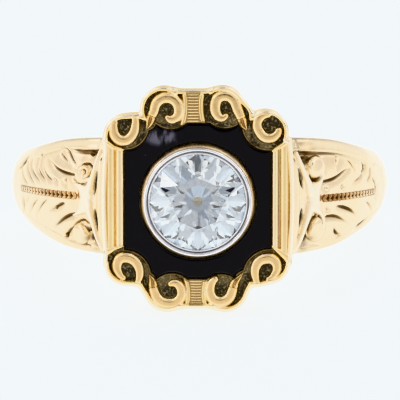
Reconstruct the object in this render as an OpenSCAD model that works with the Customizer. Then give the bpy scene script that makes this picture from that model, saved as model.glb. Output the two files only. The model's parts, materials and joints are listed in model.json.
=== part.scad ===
// Gold finger ring with a scalloped plaque head: black enamel inside a frame of scrolls, and one
// round old-cut stone in a white metal rim. The shoulders are carved with acanthus leaves.
//
// Every piece is drawn standing in the ring's own frame, with X to the right, the face toward -Y and
// the finger hole along Z. lay_down() then tips it on to its lower side, where it rests by itself on
// the lower back edge of the head and the lower edge of the band's back.
// "Depth" is a distance in front of the hole's axis, toward the face.

/* [Finger band] */
// Radius of the finger hole
bore_r = 8.8; // [8.4:0.1:9.2]
// Metal thickness at the sides of the hoop
side_t = 1.65; // [1.4:0.05:1.8]
// Metal thickness at the back of the hoop
back_t = 1.35; // [1.2:0.05:1.5]
// Metal thickness of the shoulders beside the head
shoulder_t = 2.1; // [1.9:0.05:2.3]
// Half of the band's width beside the head
shoulder_half_w = 3.18; // [3:0.02:3.3]
// Half of the band's width at the sides of the hoop
side_half_w = 1.76; // [1.6:0.02:1.9]
// Half of the band's width at the back of the hoop
back_half_w = 1.3; // [1.1:0.05:1.5]

/* [Head] */
// Depth of the head's flat back
back_d = 9.3; // [9.2:0.05:9.5]
// Thickness of the foot plate at the back of the head
foot_t = 0.55; // [0.4:0.05:0.7]
// How far the foot plate stands out beyond the foot of the side wall
foot_out = 0.08; // [0.06:0.02:0.14]
// How far the head's side wall draws in from its front edge to the foot plate
draft = 0.2; // [0.12:0.02:0.24]
// Depth of the enamel's surface
enamel_d = 11.6; // [11.4:0.05:11.8]
// Thickness of the enamel plate
enamel_t = 0.6; // [0.4:0.05:0.8]
// Height of the frame's sunk ground above the enamel
ground_h = 0.12; // [0.08:0.02:0.2]
// Height of the scrolls and of the outer rim above the enamel
crest_h = 0.5; // [0.4:0.02:0.6]
// Width of the outer rim
rim_w = 0.26; // [0.2:0.02:0.3]
// Outer edge of the side bars at their middle
bar_x = 5.18; // [5.1:0.02:5.3]
// Half of the side bars' length
bar_half_l = 3.4; // [3.3:0.05:3.5]
// How far the side bars bulge outward in their middle
bar_bulge = 0.16; // [0.1:0.02:0.2]

/* [Stone] */
// Radius of the stone's girdle
stone_r = 2.66; // [2.6:0.01:2.68]
// Radius of the stone's table
table_r = 1.38; // [1.2:0.02:1.6]
// Height of the crown above the girdle
crown_h = 0.93; // [0.7:0.01:1]
// Thickness of the girdle
girdle_t = 0.12; // [0.08:0.01:0.16]
// Angle of the pavilion to the girdle
pavilion_angle = 41; // [39:0.5:42]
// Radius of the small flat at the point
culet_r = 0.27; // [0.15:0.01:0.35]
// Height of the girdle's underside above the enamel
girdle_h = 0.6; // [0.56:0.01:0.64]
// Outer radius of the white metal rim
stone_rim_r = 2.82; // [2.8:0.01:2.9]
// Opening radius of the white metal rim, over the stone
stone_rim_lip_r = 2.56; // [2.54:0.01:2.6]
// Radius of the gold cone that carries it, where it leaves the enamel
cone_r = 3.08; // [3.05:0.01:3.2]

/* [Hidden] */
gap = 0.02;
$fn = 64;

gold_colour = [0.95, 0.80, 0.48];
enamel_colour = [0.04, 0.03, 0.05];
white_metal_colour = [0.88, 0.86, 0.86];
stone_colour = [0.80, 0.87, 0.96];

ground_d = enamel_d + ground_h;
crest_d = enamel_d + crest_h;
bed_d = enamel_d - enamel_t;
seat_h = 0.08;       // how far the stone's girdle stands over the cone's top
cone_top_h = girdle_h - seat_h;   // height of the cone's top over the enamel
cone_foot = 0.03;    // how much wider the cone is under the enamel
cone_ledge = 0.02;   // how far the cone's top stands out beyond the white rim
wall_d = back_d + foot_t / 2;   // depth at which the side wall starts
rim_root = 0.32;     // how deep a rim reaches below the ground that it stands on
root = 0.25;         // how deep every other raised piece reaches below the surface that it stands on
clear = 1;           // how far a cutting shape runs past what it cuts
proud = 0.015;       // how far the rims stand out beyond the wall, so that no two faces coincide
bar_turn_r = (bar_half_l * bar_half_l + bar_bulge * bar_bulge) / (2 * bar_bulge);
bar_turn = asin(bar_half_l / bar_turn_r);

// The band every 15 degrees from the middle of the face to the back:
// [half of the width, metal thickness, squareness of the section]
half_w_mid = (side_half_w + shoulder_half_w) / 2;
band_rows = [
    [shoulder_half_w, 1.00, 4.0],
    [shoulder_half_w, 1.40, 4.0],
    [shoulder_half_w, shoulder_t, 4.0],
    [shoulder_half_w - 0.20, shoulder_t - 0.14, 3.2],
    [half_w_mid + 0.06, side_t + 0.15, 2.3],
    [side_half_w + 0.30, side_t + 0.05, 2.0],
    [side_half_w, side_t, 1.9],
    [side_half_w - 0.13, side_t - 0.05, 1.9],
    [back_half_w + 0.22, back_t + 0.14, 2.0],
    [back_half_w + 0.14, back_t + 0.08, 2.0],
    [back_half_w + 0.07, back_t + 0.04, 2.0],
    [back_half_w + 0.02, back_t + 0.01, 2.0],
    [back_half_w, back_t, 2.0]
];
row_step = 15;
widest = 0.4;        // the share of the thickness at which the section is widest
inner_w = 0.8;       // half width of the section inside the hole, as a share of its full one
edge_t = 0.1;        // where its inner edge is rounded: share of the thickness
edge_w = 0.95;       // and share of the half width
band_step = 5;       // degrees between two sections
section_step = 15;   // degrees between two points of a section's outer curve

// The round lobes of the head: [x, y, radius, first angle of the rim, last angle of the rim]
lobes = [
    [-1.86, 4.93, 1.26, 60, 192],
    [1.32, 4.95, 1.26, 20, 121],
    [-3.90, 3.50, 1.18, 76, 198],
    [3.66, 3.70, 1.22, -20, 124],
    [-3.84, -3.36, 1.18, 176, 285],
    [3.76, -3.26, 1.20, 264, 366],
    [-1.65, -4.67, 1.28, 193, 302],
    [1.46, -4.67, 1.28, 238, 354],
    // smaller lobes that fill the corners between those
    [2.05, 4.55, 0.95, 10, 62],
    [-3.30, 3.86, 0.85, 76, 112],
    [-2.25, -4.20, 1.00, 202, 230],
    [-3.20, -3.75, 0.83, 245, 272],
    [2.05, -4.15, 0.95, 316, 334],
    [3.16, -3.78, 0.83, 252, 306]
];
// The plain middle of the head's plate: half of its width, its upper and its lower edge
core_x = 3.3;
core_top = 4.5;
core_low = 4.35;
// The narrow waists between the two upper and the two lower lobes: [left, right, outer edge]
waists = [[-1.3, 0.8, 6.03], [-1.1, 0.9, -5.76]];
waist_half_w = 0.43;   // at the middle of its length
waist_spread = 0.13;   // how much wider it is at both ends
waist_in = 4.34;       // where a waist starts, from the middle of the face
waist_h = 0.24;        // height of its top over the ground
rib_pitch = 0.15;
rib_r = 0.05;

// The enamel's window: a rectangle less the round grounds that the scrolls stand on: [x, y, radius]
window_x = 3.96;
window_y = 4.21;
grounds = [
    [-3.86, 4.00, 1.23], [-1.44, 5.07, 1.21], [1.45, 5.12, 1.21], [3.73, 4.10, 1.37],
    [-3.91, -4.04, 1.39], [-1.39, -5.11, 1.21], [1.24, -5.17, 1.23], [3.86, -4.04, 1.45],
    [-2.75, 4.33, 0.54], [2.64, 4.22, 0.44], [-2.70, -4.30, 0.46], [2.53, -4.30, 0.57]
];

// The scrolls. Each is [x of its eye, y of its eye, rows], and its rows follow the band's middle
// line from the leaf tip or outer end to the curled end: [angle around the eye, radius, width]
scrolls = [
    [-1.70, 4.95, [[226, 1.47, 0.08], [217, 1.08, 0.46], [189, 0.70, 0.58], [140, 0.62, 0.66],
        [90, 0.61, 0.70], [40, 0.66, 0.70], [0, 0.69, 0.70], [-32, 0.71, 0.64], [-62, 0.63, 0.54],
        [-80, 0.48, 0.36]]],
    [1.51, 5.00, [[-46, 1.60, 0.08], [-42, 1.22, 0.44], [-22, 0.78, 0.58], [8, 0.58, 0.64],
        [55, 0.60, 0.68], [94, 0.67, 0.70], [129, 0.69, 0.70], [166, 0.60, 0.70], [204, 0.59, 0.66],
        [240, 0.60, 0.54], [268, 0.44, 0.36]]],
    [-3.95, 3.93, [[50, 0.80, 0.34], [10, 0.60, 0.54], [-38, 0.58, 0.66], [-80, 0.66, 0.68],
        [-110, 0.67, 0.68], [-140, 0.62, 0.66], [-175, 0.55, 0.58], [-212, 0.58, 0.42]]],
    [3.86, 4.04, [[100, 0.62, 0.42], [135, 0.68, 0.56], [167, 0.70, 0.62], [208, 0.64, 0.66],
        [243, 0.66, 0.66], [285, 0.62, 0.60], [330, 0.54, 0.44]]],
    [-1.59, -4.84, [[139, 1.30, 0.08], [150, 0.98, 0.44], [184, 0.76, 0.60], [225, 0.70, 0.70],
        [270, 0.68, 0.70], [307, 0.74, 0.68], [340, 0.74, 0.64], [372, 0.68, 0.60],
        [404, 0.60, 0.52], [432, 0.44, 0.36]]],
    [1.24, -4.79, [[118, 0.68, 0.44], [160, 0.60, 0.58], [200, 0.60, 0.66], [237, 0.65, 0.70],
        [275, 0.62, 0.70], [312, 0.60, 0.68], [355, 0.62, 0.60], [388, 0.87, 0.40],
        [398, 1.46, 0.08]]],
    [-3.79, -3.67, [[245, 0.48, 0.34], [200, 0.48, 0.48], [160, 0.58, 0.62], [124, 0.68, 0.68],
        [94, 0.64, 0.68], [55, 0.60, 0.66], [14, 0.62, 0.62], [-21, 0.72, 0.52], [-45, 0.84, 0.40]]],
    [3.70, -3.67, [[-80, 0.52, 0.34], [-30, 0.48, 0.48], [24, 0.58, 0.62], [61, 0.62, 0.68],
        [95, 0.59, 0.68], [132, 0.60, 0.66], [170, 0.62, 0.62], [206, 0.70, 0.52],
        [230, 0.84, 0.40]]]
];
scroll_steps = 2;  // sections between two rows

scroll_shoulder = 0.35;  // share of a scroll's height at its edges
scroll_tip = 0.3;    // share of the full height at which a scroll's pointed end starts

// The reeds along the left and the right bar: [distance in from the outer edge, radius, height]
reeds = [
    [[0.51, 0.20, 0.44], [0.98, 0.18, 0.40]],
    [[0.54, 0.20, 0.44], [1.04, 0.17, 0.40]]
];
reed_half_l = 2.8;
// The tapered caps at the bars' ends, from the outer edge inward: [x, y, width]
caps = [
    [[-4.88, 3.17, 0.32], [-4.48, 2.89, 0.26], [-4.01, 2.78, 0.14]],
    [[4.86, 3.24, 0.34], [4.40, 2.94, 0.26], [4.03, 2.72, 0.14]],
    [[-4.88, -2.71, 0.42], [-4.46, -2.51, 0.30], [-4.02, -2.41, 0.14]],
    [[4.88, -2.92, 0.50], [4.45, -2.70, 0.32], [4.03, -2.44, 0.14]]
];
cap_h = 0.34;        // height of the caps over the ground

// Carving on the left and the right shoulder. Each line of it runs along rows of
// [angle from the face, height across the band, width]
carve_h = 0.16;      // how far a leaf rib stands out of the band
carve_steps = 2;
carve_shoulder = 0.2;  // share of a rib's height at its edges
leaf_ribs = [
    [
        [[38.5, 0.82, 0.16], [43, 0.90, 0.56], [47.4, 1.06, 0.62], [50, 1.36, 0.44], [51.8, 1.72, 0.10]],
        [[39, 1.42, 0.16], [42.6, 1.62, 0.58], [46.4, 1.88, 0.56], [49, 2.12, 0.12]],
        [[37.5, 2.04, 0.14], [40.4, 2.26, 0.44], [43, 2.44, 0.10]],
        [[50.4, 0.50, 0.12], [53.8, 0.84, 0.44], [55.9, 1.20, 0.48], [55.8, 1.66, 0.12]],
        [[54.6, 0.36, 0.12], [58.4, 0.72, 0.42], [60.6, 1.10, 0.44], [60.2, 1.52, 0.12]],
        [[59.2, 0.26, 0.12], [62.8, 0.54, 0.40], [65, 0.92, 0.42], [64.6, 1.34, 0.12]],
        [[64.5, 0.22, 0.10], [68, 0.48, 0.36], [70, 0.80, 0.34], [69.8, 1.10, 0.10]],
        [[40.4, -0.70, 0.14], [44.8, -0.86, 0.56], [48.2, -1.18, 0.58], [51, -1.62, 0.12]],
        [[39.6, -1.34, 0.14], [43.4, -1.60, 0.54], [46.4, -2.02, 0.12]],
        [[46, -0.34, 0.12], [50.8, -0.56, 0.48], [54, -0.92, 0.50], [56, -1.40, 0.12]],
        [[52, -0.26, 0.12], [56.6, -0.42, 0.42], [59.4, -0.72, 0.44], [61.2, -1.18, 0.12]],
        [[58, -0.22, 0.10], [62.2, -0.36, 0.36], [64.8, -0.60, 0.36], [66.4, -0.96, 0.10]]
    ],
    [
        [[40, 0.42, 0.14], [44, 0.62, 0.56], [49, 0.84, 0.58], [53.6, 1.14, 0.12]],
        [[39.6, 1.02, 0.14], [43.6, 1.20, 0.56], [48.2, 1.44, 0.58], [52.4, 1.74, 0.12]],
        [[40.4, 1.92, 0.16], [44, 1.96, 0.58], [48, 1.98, 0.12]],
        [[50, 0.30, 0.12], [54.4, 0.44, 0.40], [58.6, 0.78, 0.44], [61, 1.24, 0.12]],
        [[57, 0.24, 0.10], [61, 0.36, 0.34], [64.4, 0.62, 0.36], [66.4, 1.00, 0.10]],
        [[42, -0.40, 0.12], [46.6, -0.46, 0.48], [51.6, -0.58, 0.50], [56, -0.98, 0.12]],
        [[41.6, -0.92, 0.14], [46, -0.98, 0.54], [50.2, -1.20, 0.50], [53.4, -1.54, 0.12]],
        [[40.4, -1.60, 0.14], [44.6, -1.60, 0.58], [48.6, -1.82, 0.50], [51.4, -2.10, 0.12]],
        [[54, -0.42, 0.12], [58.6, -0.58, 0.42], [62, -0.92, 0.42], [63.6, -1.36, 0.10]],
        [[60, -0.30, 0.10], [64, -0.44, 0.34], [67, -0.72, 0.10]]
    ]
];
volutes = [
    [
        [[38.4, 1.08, 0.12], [37.8, 1.50, 0.28], [35.6, 1.76, 0.34], [33.4, 1.56, 0.34],
            [32.8, 1.16, 0.32], [34.4, 0.94, 0.24], [35.8, 1.20, 0.16]],
        [[38.2, -1.72, 0.12], [37.8, -2.14, 0.28], [35.6, -2.40, 0.34], [33.2, -2.20, 0.34],
            [32.6, -1.80, 0.32], [34.2, -1.58, 0.24], [35.6, -1.82, 0.16]]
    ],
    [
        [[38.4, 1.24, 0.14], [38.0, 1.66, 0.30], [35.8, 1.96, 0.34], [33.4, 1.80, 0.34],
            [32.6, 1.42, 0.32], [34.0, 1.16, 0.24], [35.6, 1.44, 0.16]],
        [[38.2, -1.50, 0.14], [37.8, -1.94, 0.30], [35.6, -2.20, 0.34], [33.2, -2.04, 0.34],
            [32.6, -1.64, 0.32], [34.0, -1.40, 0.24], [35.4, -1.66, 0.16]]
    ]
];
// The flare by the head: its hourglass body, its two long horns and its two short ones
flares = [
    [
        [[36.4, 0.55, 0.50], [35.4, 0.10, 0.84], [35.2, -0.40, 0.84], [36.4, -0.85, 0.50]],
        [[34.4, 0.10, 0.60], [33.2, 0.60, 0.50], [31.9, 1.10, 0.36], [30.9, 1.70, 0.28],
            [29.8, 2.40, 0.20]],
        [[34.4, -0.40, 0.60], [33.2, -0.90, 0.50], [31.9, -1.40, 0.36], [31.0, -1.98, 0.28],
            [29.8, -2.70, 0.20]],
        [[36.2, 0.40, 0.40], [38.0, 0.70, 0.24], [39.2, 0.86, 0.10]],
        [[36.2, -0.70, 0.40], [38.0, -1.00, 0.24], [39.2, -1.12, 0.10]]
    ],
    [
        [[37.0, 0.45, 0.44], [35.4, 0.10, 0.82], [35.2, -0.40, 0.82], [37.0, -0.75, 0.44]],
        [[34.4, 0.10, 0.56], [33.2, 0.54, 0.44], [32.0, 0.98, 0.32], [30.8, 1.54, 0.26],
            [29.6, 2.30, 0.20]],
        [[34.4, -0.40, 0.56], [33.2, -0.84, 0.44], [32.0, -1.30, 0.32], [31.0, -1.88, 0.26],
            [29.8, -2.70, 0.20]],
        [[36.6, 0.36, 0.40], [38.4, 0.66, 0.32], [39.4, 0.98, 0.16]],
        [[36.6, -0.66, 0.40], [38.4, -0.96, 0.32], [39.4, -1.28, 0.16]]
    ]
];
borders = [
    [
        [[30.6, 2.70, 0.28], [36.7, 2.66, 0.34], [45.6, 2.46, 0.32], [53.7, 2.18, 0.28],
            [64.6, 1.80, 0.24], [74, 1.30, 0.10]],
        [[30.6, -2.94, 0.24], [35.8, -2.90, 0.26], [40.6, -2.74, 0.30], [46, -2.44, 0.30],
            [56, -2.00, 0.26], [72, -1.42, 0.10]]
    ],
    [
        [[30.6, 2.66, 0.28], [36, 2.60, 0.34], [42.2, 2.46, 0.34], [51.6, 2.12, 0.30], [61, 1.80, 0.24],
            [74, 1.22, 0.10]],
        [[30.6, -2.96, 0.22], [38.1, -2.86, 0.28], [45.3, -2.56, 0.30], [53.1, -2.18, 0.28],
            [62, -1.78, 0.24], [73, -1.34, 0.10]]
    ]
];
volute_rise = 1.3;   // heights of the volutes, flares and borders as shares of a leaf rib's
flare_rise = 1.2;
border_rise = 0.7;
// The row of beads along each stem: [first angle, last angle, height across the band]
stems = [[39.4, 67, -0.02], [40, 68, -0.16]];
bead_count = 14;
bead_big = 0.23;
bead_small = 0.10;
bead_rise = 0.2;     // share of a bead's radius by which its middle stands over the band

// Where the ring touches the surface under it, and how far it tips to touch there
head_low = -min([for (l = lobes) l[1] - l[2]]) + foot_out - draft;
back_mid_r = bore_r + widest * back_t;
rough_tilt = atan((head_low - back_half_w) / (back_d + back_mid_r));
back_low = norm([(1 - widest) * back_t * tan(rough_tilt), back_half_w]);
rest_tilt = atan((head_low - back_low) / (back_d + back_mid_r));
rest_lift = head_low * cos(rest_tilt) - back_d * sin(rest_tilt);
front_reach = crest_d * cos(rest_tilt) + (head_low - foot_out + draft) * sin(rest_tilt);
back_reach = back_mid_r * cos(rest_tilt)
    + norm([(1 - widest) * back_t * cos(rest_tilt), back_half_w * sin(rest_tilt)]);
rest_shift = (front_reach - back_reach) / 2;

// A smooth curve through the rows of a table; s counts the rows.
function curve(a, b, c, d, u) =
    (2 * b + (c - a) * u + (2 * a - 5 * b + 4 * c - d) * u * u + (3 * b - a - 3 * c + d) * u * u * u) / 2;
function row_at(rows, s) =
    let (last = len(rows) - 1, i = min(floor(s), last - 1))
    curve(rows[max(i - 1, 0)], rows[i], rows[i + 1], rows[min(i + 2, last)], s - i);
function rows_between(rows, steps) = [for (i = [0 : (len(rows) - 1) * steps]) row_at(rows, i / steps)];

// The band's measures at an angle from the face, and its outer radius at a height across it
function band_at(angle) = row_at(band_rows, min(abs(angle), 180) / row_step);
function outer_r(angle, z) =
    let (m = band_at(angle), widest_r = bore_r + widest * m[1], share = min(abs(z) / m[0], 1))
    widest_r + (1 - widest) * m[1] * pow(1 - pow(share, m[2]), 1 / m[2]);

function on_hoop(r, angle, z) = [r * sin(angle), -r * cos(angle), z];

// Closed skins over a list of rings of points. All rings have as many points, and run the same way.
module skin(rings, closed = false) {
    n = len(rings);
    m = len(rings[0]);
    pairs = closed ? n : n - 1;
    walls = [for (i = [0 : pairs - 1], j = [0 : m - 1])
        [i * m + j, i * m + (j + 1) % m, ((i + 1) % n) * m + (j + 1) % m, ((i + 1) % n) * m + j]];
    triangles = [for (w = walls) each [[w[0], w[1], w[2]], [w[0], w[2], w[3]]]];
    ends = closed ? [] : [[for (j = [m - 1 : -1 : 0]) j], [for (j = [0 : m - 1]) (n - 1) * m + j]];
    polyhedron([for (r = rings) each r], concat(triangles, ends));
}

// Tips the standing ring on to its side and sets it on the surface.
module lay_down() {
    translate([0, rest_shift, rest_lift]) rotate([-rest_tilt, 0, 0]) children();
}

// Turns the plane of the face upright: x stays, y becomes height and z becomes depth.
module on_face() {
    rotate([90, 0, 0]) children();
}

module slab(from, to) {
    translate([0, 0, from]) linear_extrude(to - from) children();
}

// The band's section at an angle, from the inner edge on one side round to the other
function band_section(angle) =
    let (m = band_at(angle), w = m[0], t = m[1], power = 2 / m[2], widest_r = bore_r + widest * t,
        half = [for (a = [0 : section_step : 90 - section_step])
            [widest_r + (1 - widest) * t * pow(sin(a), power), w * pow(cos(a), power)]],
        side = concat([[bore_r - root, inner_w * w], [bore_r + edge_t * t, edge_w * w]], half))
    concat([for (p = side) on_hoop(p[0], angle, p[1])], [on_hoop(bore_r + t, angle, 0)],
        [for (i = [len(side) - 1 : -1 : 0]) on_hoop(side[i][0], angle, -side[i][1])]);

module band() {
    skin([for (a = [180 : -band_step : band_step - 180]) band_section(a)], closed = true);
}

// A crowned rib over the band, along rows of [angle, height across, width]
module carved_rib(rows, height = carve_h) {
    line = rows_between(rows, carve_steps);
    last = len(line) - 1;
    function place(row, across, h) =
        let (z = row[1] + across[1], a = row[0] + across[0]) on_hoop(outer_r(a, z) + h, a, z);
    skin([for (i = [0 : last])
        let (p = line[max(i - 1, 0)], q = line[min(i + 1, last)], r = bore_r + side_t,
            way = [(q[0] - p[0]) * PI / 180 * r, q[1] - p[1]], unit = way / norm(way), w = line[i][2] / 2,
            side = [-unit[1] * w / (PI / 180 * r), unit[0] * w], low = -root)
        [place(line[i], -side, low), place(line[i], -side, carve_shoulder * height),
            place(line[i], -side / 2, height), place(line[i], side / 2, height),
            place(line[i], side, carve_shoulder * height), place(line[i], side, low)]]);
}

module beads(stem) {
    for (i = [0 : bead_count - 1])
        let (share = i / (bead_count - 1), r = bead_big + (bead_small - bead_big) * share,
            a = stem[0] + (stem[1] - stem[0]) * share)
        translate(on_hoop(outer_r(a, stem[2]) + bead_rise * r, a, stem[2])) sphere(r);
}

// The carving of one shoulder, drawn on the side of +X
module shoulder(i) {
    for (rib = leaf_ribs[i]) carved_rib(rib);
    for (rib = volutes[i]) carved_rib(rib, volute_rise * carve_h);
    for (rib = flares[i]) carved_rib(rib, flare_rise * carve_h);
    for (rib = borders[i]) carved_rib(rib, border_rise * carve_h);
    beads(stems[i]);
}

// The flat outline of the head's left half beside the window, its outer edge a shallow arc
module bar_plate(grow = 0) {
    intersection() {
        translate([bar_turn_r - bar_x, 0]) circle(bar_turn_r + grow, $fn = 512);
        translate([-bar_x - clear, -bar_half_l]) square([bar_x + clear, 2 * bar_half_l]);
    }
}

// The head's outline at its front edge, grown by a width all round
module head_outline(grow = 0) {
    for (l = lobes) translate([l[0], l[1]]) circle(l[2] + grow);
    translate([-core_x, -core_low]) square([2 * core_x, core_low + core_top]);
    bar_plate(grow);
    mirror([1, 0]) bar_plate(grow);
    for (w = waists)
        translate([w[0], w[2] > 0 ? 0 : w[2] - grow]) square([w[1] - w[0], abs(w[2]) + grow]);
}

// The head's body from the foot plate to the ground of the frame. Its side wall draws in to the back.
module head_body() {
    h = ground_d - wall_d;
    for (l = lobes) translate([l[0], l[1], wall_d]) cylinder(h = h, r1 = l[2] - draft, r2 = l[2]);
    slab(wall_d, ground_d) translate([-core_x, -core_low]) square([2 * core_x, core_low + core_top]);
    for (turn = [0, 1]) mirror([turn, 0, 0]) intersection() {
        translate([bar_turn_r - bar_x, 0, wall_d])
            cylinder(h = h, r1 = bar_turn_r - draft, r2 = bar_turn_r, $fn = 512);
        translate([-bar_x - clear, -bar_half_l, wall_d]) cube([bar_x + clear, 2 * bar_half_l, h]);
    }
    for (w = waists)
        mirror([0, w[2] > 0 ? 0 : 1, 0]) translate([w[1], 0, 0]) rotate([90, 0, -90])
            linear_extrude(w[1] - w[0]) polygon([
                [0, wall_d], [0, ground_d], [-abs(w[2]), ground_d], [draft - abs(w[2]), wall_d]
            ]);
}

// The window that the enamel fills, drawn in by a width all round
module enamel_outline(draw_in = 0) {
    difference() {
        square([2 * (window_x - draw_in), 2 * (window_y - draw_in)], center = true);
        for (g = grounds) translate([g[0], g[1]]) circle(g[2] + draw_in);
    }
}

// A round-topped wall that turns round the origin, its outer edge at a radius
module rim_arc(r, first, last) {
    middle = r - rim_w / 2 + proud;
    low = ground_d - rim_root;
    top = crest_d - rim_w / 2;
    rotate(first) rotate_extrude(angle = last - first) {
        translate([middle - rim_w / 2, low]) square([rim_w, top - low]);
        translate([middle, top]) circle(rim_w / 2);
    }
}

// A crowned band over the ground, along rows of [x, y, width], up to a depth
module raised_band(line, top_d) {
    last = len(line) - 1;
    low = ground_d - root;
    skin([for (i = [0 : last])
        let (before = line[max(i - 1, 0)], after = line[min(i + 1, last)], w = line[i][2],
            way = [after[0] - before[0], after[1] - before[1]], c = [line[i][0], line[i][1]],
            side = [-way[1], way[0]] / norm(way) * w / 2,
            top = ground_d + (top_d - ground_d) * min(1, scroll_tip + w),
            edge = ground_d + scroll_shoulder * (top - ground_d))
        [[each c - side, low], [each c - side, edge], [each c - side / 2, top],
            [each c + side / 2, top], [each c + side, edge], [each c + side, low]]]);
}

// One scroll: a crowned band that curls around its eye
module scroll(s) {
    raised_band([for (r = rows_between(s[2], scroll_steps))
        [s[0] + r[1] * cos(r[0]), s[1] + r[1] * sin(r[0]), r[2]]], crest_d);
}

// A round rod between two places on the face, at a depth
module rod(from, to, r, depth) {
    way = to - from;
    translate([from[0], from[1], depth]) rotate(atan2(way[1], way[0])) rotate([0, 90, 0])
        cylinder(h = norm(way), r = r);
}

// One side bar's outer rim and its reeds
module bar(bar_reeds) {
    translate([bar_turn_r - bar_x, 0, 0]) rim_arc(bar_turn_r, 180 - bar_turn, 180 + bar_turn, $fn = 512);
    for (r = bar_reeds)
        rod([-bar_x + r[0], -reed_half_l], [-bar_x + r[0], reed_half_l], r[1], enamel_d + r[2] - r[1]);
}

// The ribbed band across one waist, narrow in its middle
module waist(w) {
    length = abs(w[2]) - waist_in - rim_w / 2;
    function half_w(share) = waist_half_w + waist_spread * pow(2 * share - 1, 2);
    edge = [for (s = [0 : 0.25 : 1]) [half_w(s), waist_in + s * length]];
    ribs = floor(length / rib_pitch);
    translate([(w[0] + w[1]) / 2, 0, 0]) mirror([0, w[2] > 0 ? 0 : 1, 0]) {
        slab(ground_d - root, ground_d + waist_h)
            polygon(concat(edge, [for (i = [4 : -1 : 0]) [-edge[i][0], edge[i][1]]]));
        for (i = [0 : ribs - 1])
            let (y = waist_in + (i + 0.5) * length / ribs, half_l = half_w((i + 0.5) / ribs) - rib_r)
            rod([-half_l, y], [half_l, y], rib_r, ground_d + waist_h);
    }
}

module head() {
    slab(back_d, back_d + foot_t) head_outline(foot_out - draft);
    difference() {
        head_body();
        slab(bed_d, ground_d + clear) enamel_outline();
    }
    for (l = lobes) translate([l[0], l[1], 0]) rim_arc(l[2], l[3], l[4]);
    for (s = scrolls) scroll(s);
    for (c = caps) raised_band(rows_between(c, scroll_steps), ground_d + cap_h);
    bar(reeds[0]);
    mirror([1, 0, 0]) bar(reeds[1]);
    for (w = waists) waist(w);
}

// The gold cone under the stone, and the seat that the stone's pavilion sits in
module cone() {
    rotate_extrude() polygon([
        [0, bed_d - root], [cone_r + cone_foot, bed_d - root], [cone_r, enamel_d],
        [stone_rim_r + cone_ledge, enamel_d + cone_top_h], [0, enamel_d + cone_top_h]
    ]);
}
module stone_seat() {
    pavilion_h = (stone_r + 2 * gap) * tan(pavilion_angle);
    translate([0, 0, enamel_d + girdle_h - pavilion_h])
        cylinder(h = 2 * pavilion_h, r1 = 0, r2 = 2 * (stone_r + 2 * gap));
}

module gold_mount() {
    color(gold_colour) lay_down() difference() {
        union() {
            band();
            mirror([1, 0, 0]) shoulder(0);
            shoulder(1);
            on_face() {
                head();
                cone();
            }
        }
        cylinder(h = 2 * (shoulder_half_w + clear), r = bore_r, center = true);
        on_face() stone_seat();
    }
}

module enamel_panel() {
    color(enamel_colour) lay_down() on_face() difference() {
        slab(bed_d + gap, enamel_d) enamel_outline(gap);
        translate([0, 0, bed_d - clear]) cylinder(h = enamel_t + 2 * clear, r = cone_r + cone_foot + gap);
    }
}

// The white metal rim: a round-topped ring with a groove inside for the stone's edge
module stone_rim() {
    low = enamel_d + cone_top_h + gap;
    lip = enamel_d + girdle_h + girdle_t + 2 * gap;
    wall = stone_rim_r - stone_rim_lip_r;
    lip_slope = 0.1;     // how far the lip rises toward its thin edge
    lead_in = 0.1;       // size of the bevel at the foot of the rim's inner wall
    color(white_metal_colour) lay_down() on_face() rotate_extrude() difference() {
        union() {
            translate([stone_rim_lip_r, low]) square([wall, lip + lip_slope / 2 - low]);
            translate([stone_rim_lip_r + wall / 2, lip + lip_slope / 2]) circle(wall / 2);
        }
        polygon([
            [0, low - lead_in], [stone_r + gap - lead_in, low - lead_in],
            [stone_r + gap, low + lead_in / 2], [stone_r + gap, lip - gap],
            [stone_rim_lip_r - gap / 2, lip + lip_slope], [0, lip + lip_slope]
        ]);
    }
}

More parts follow.
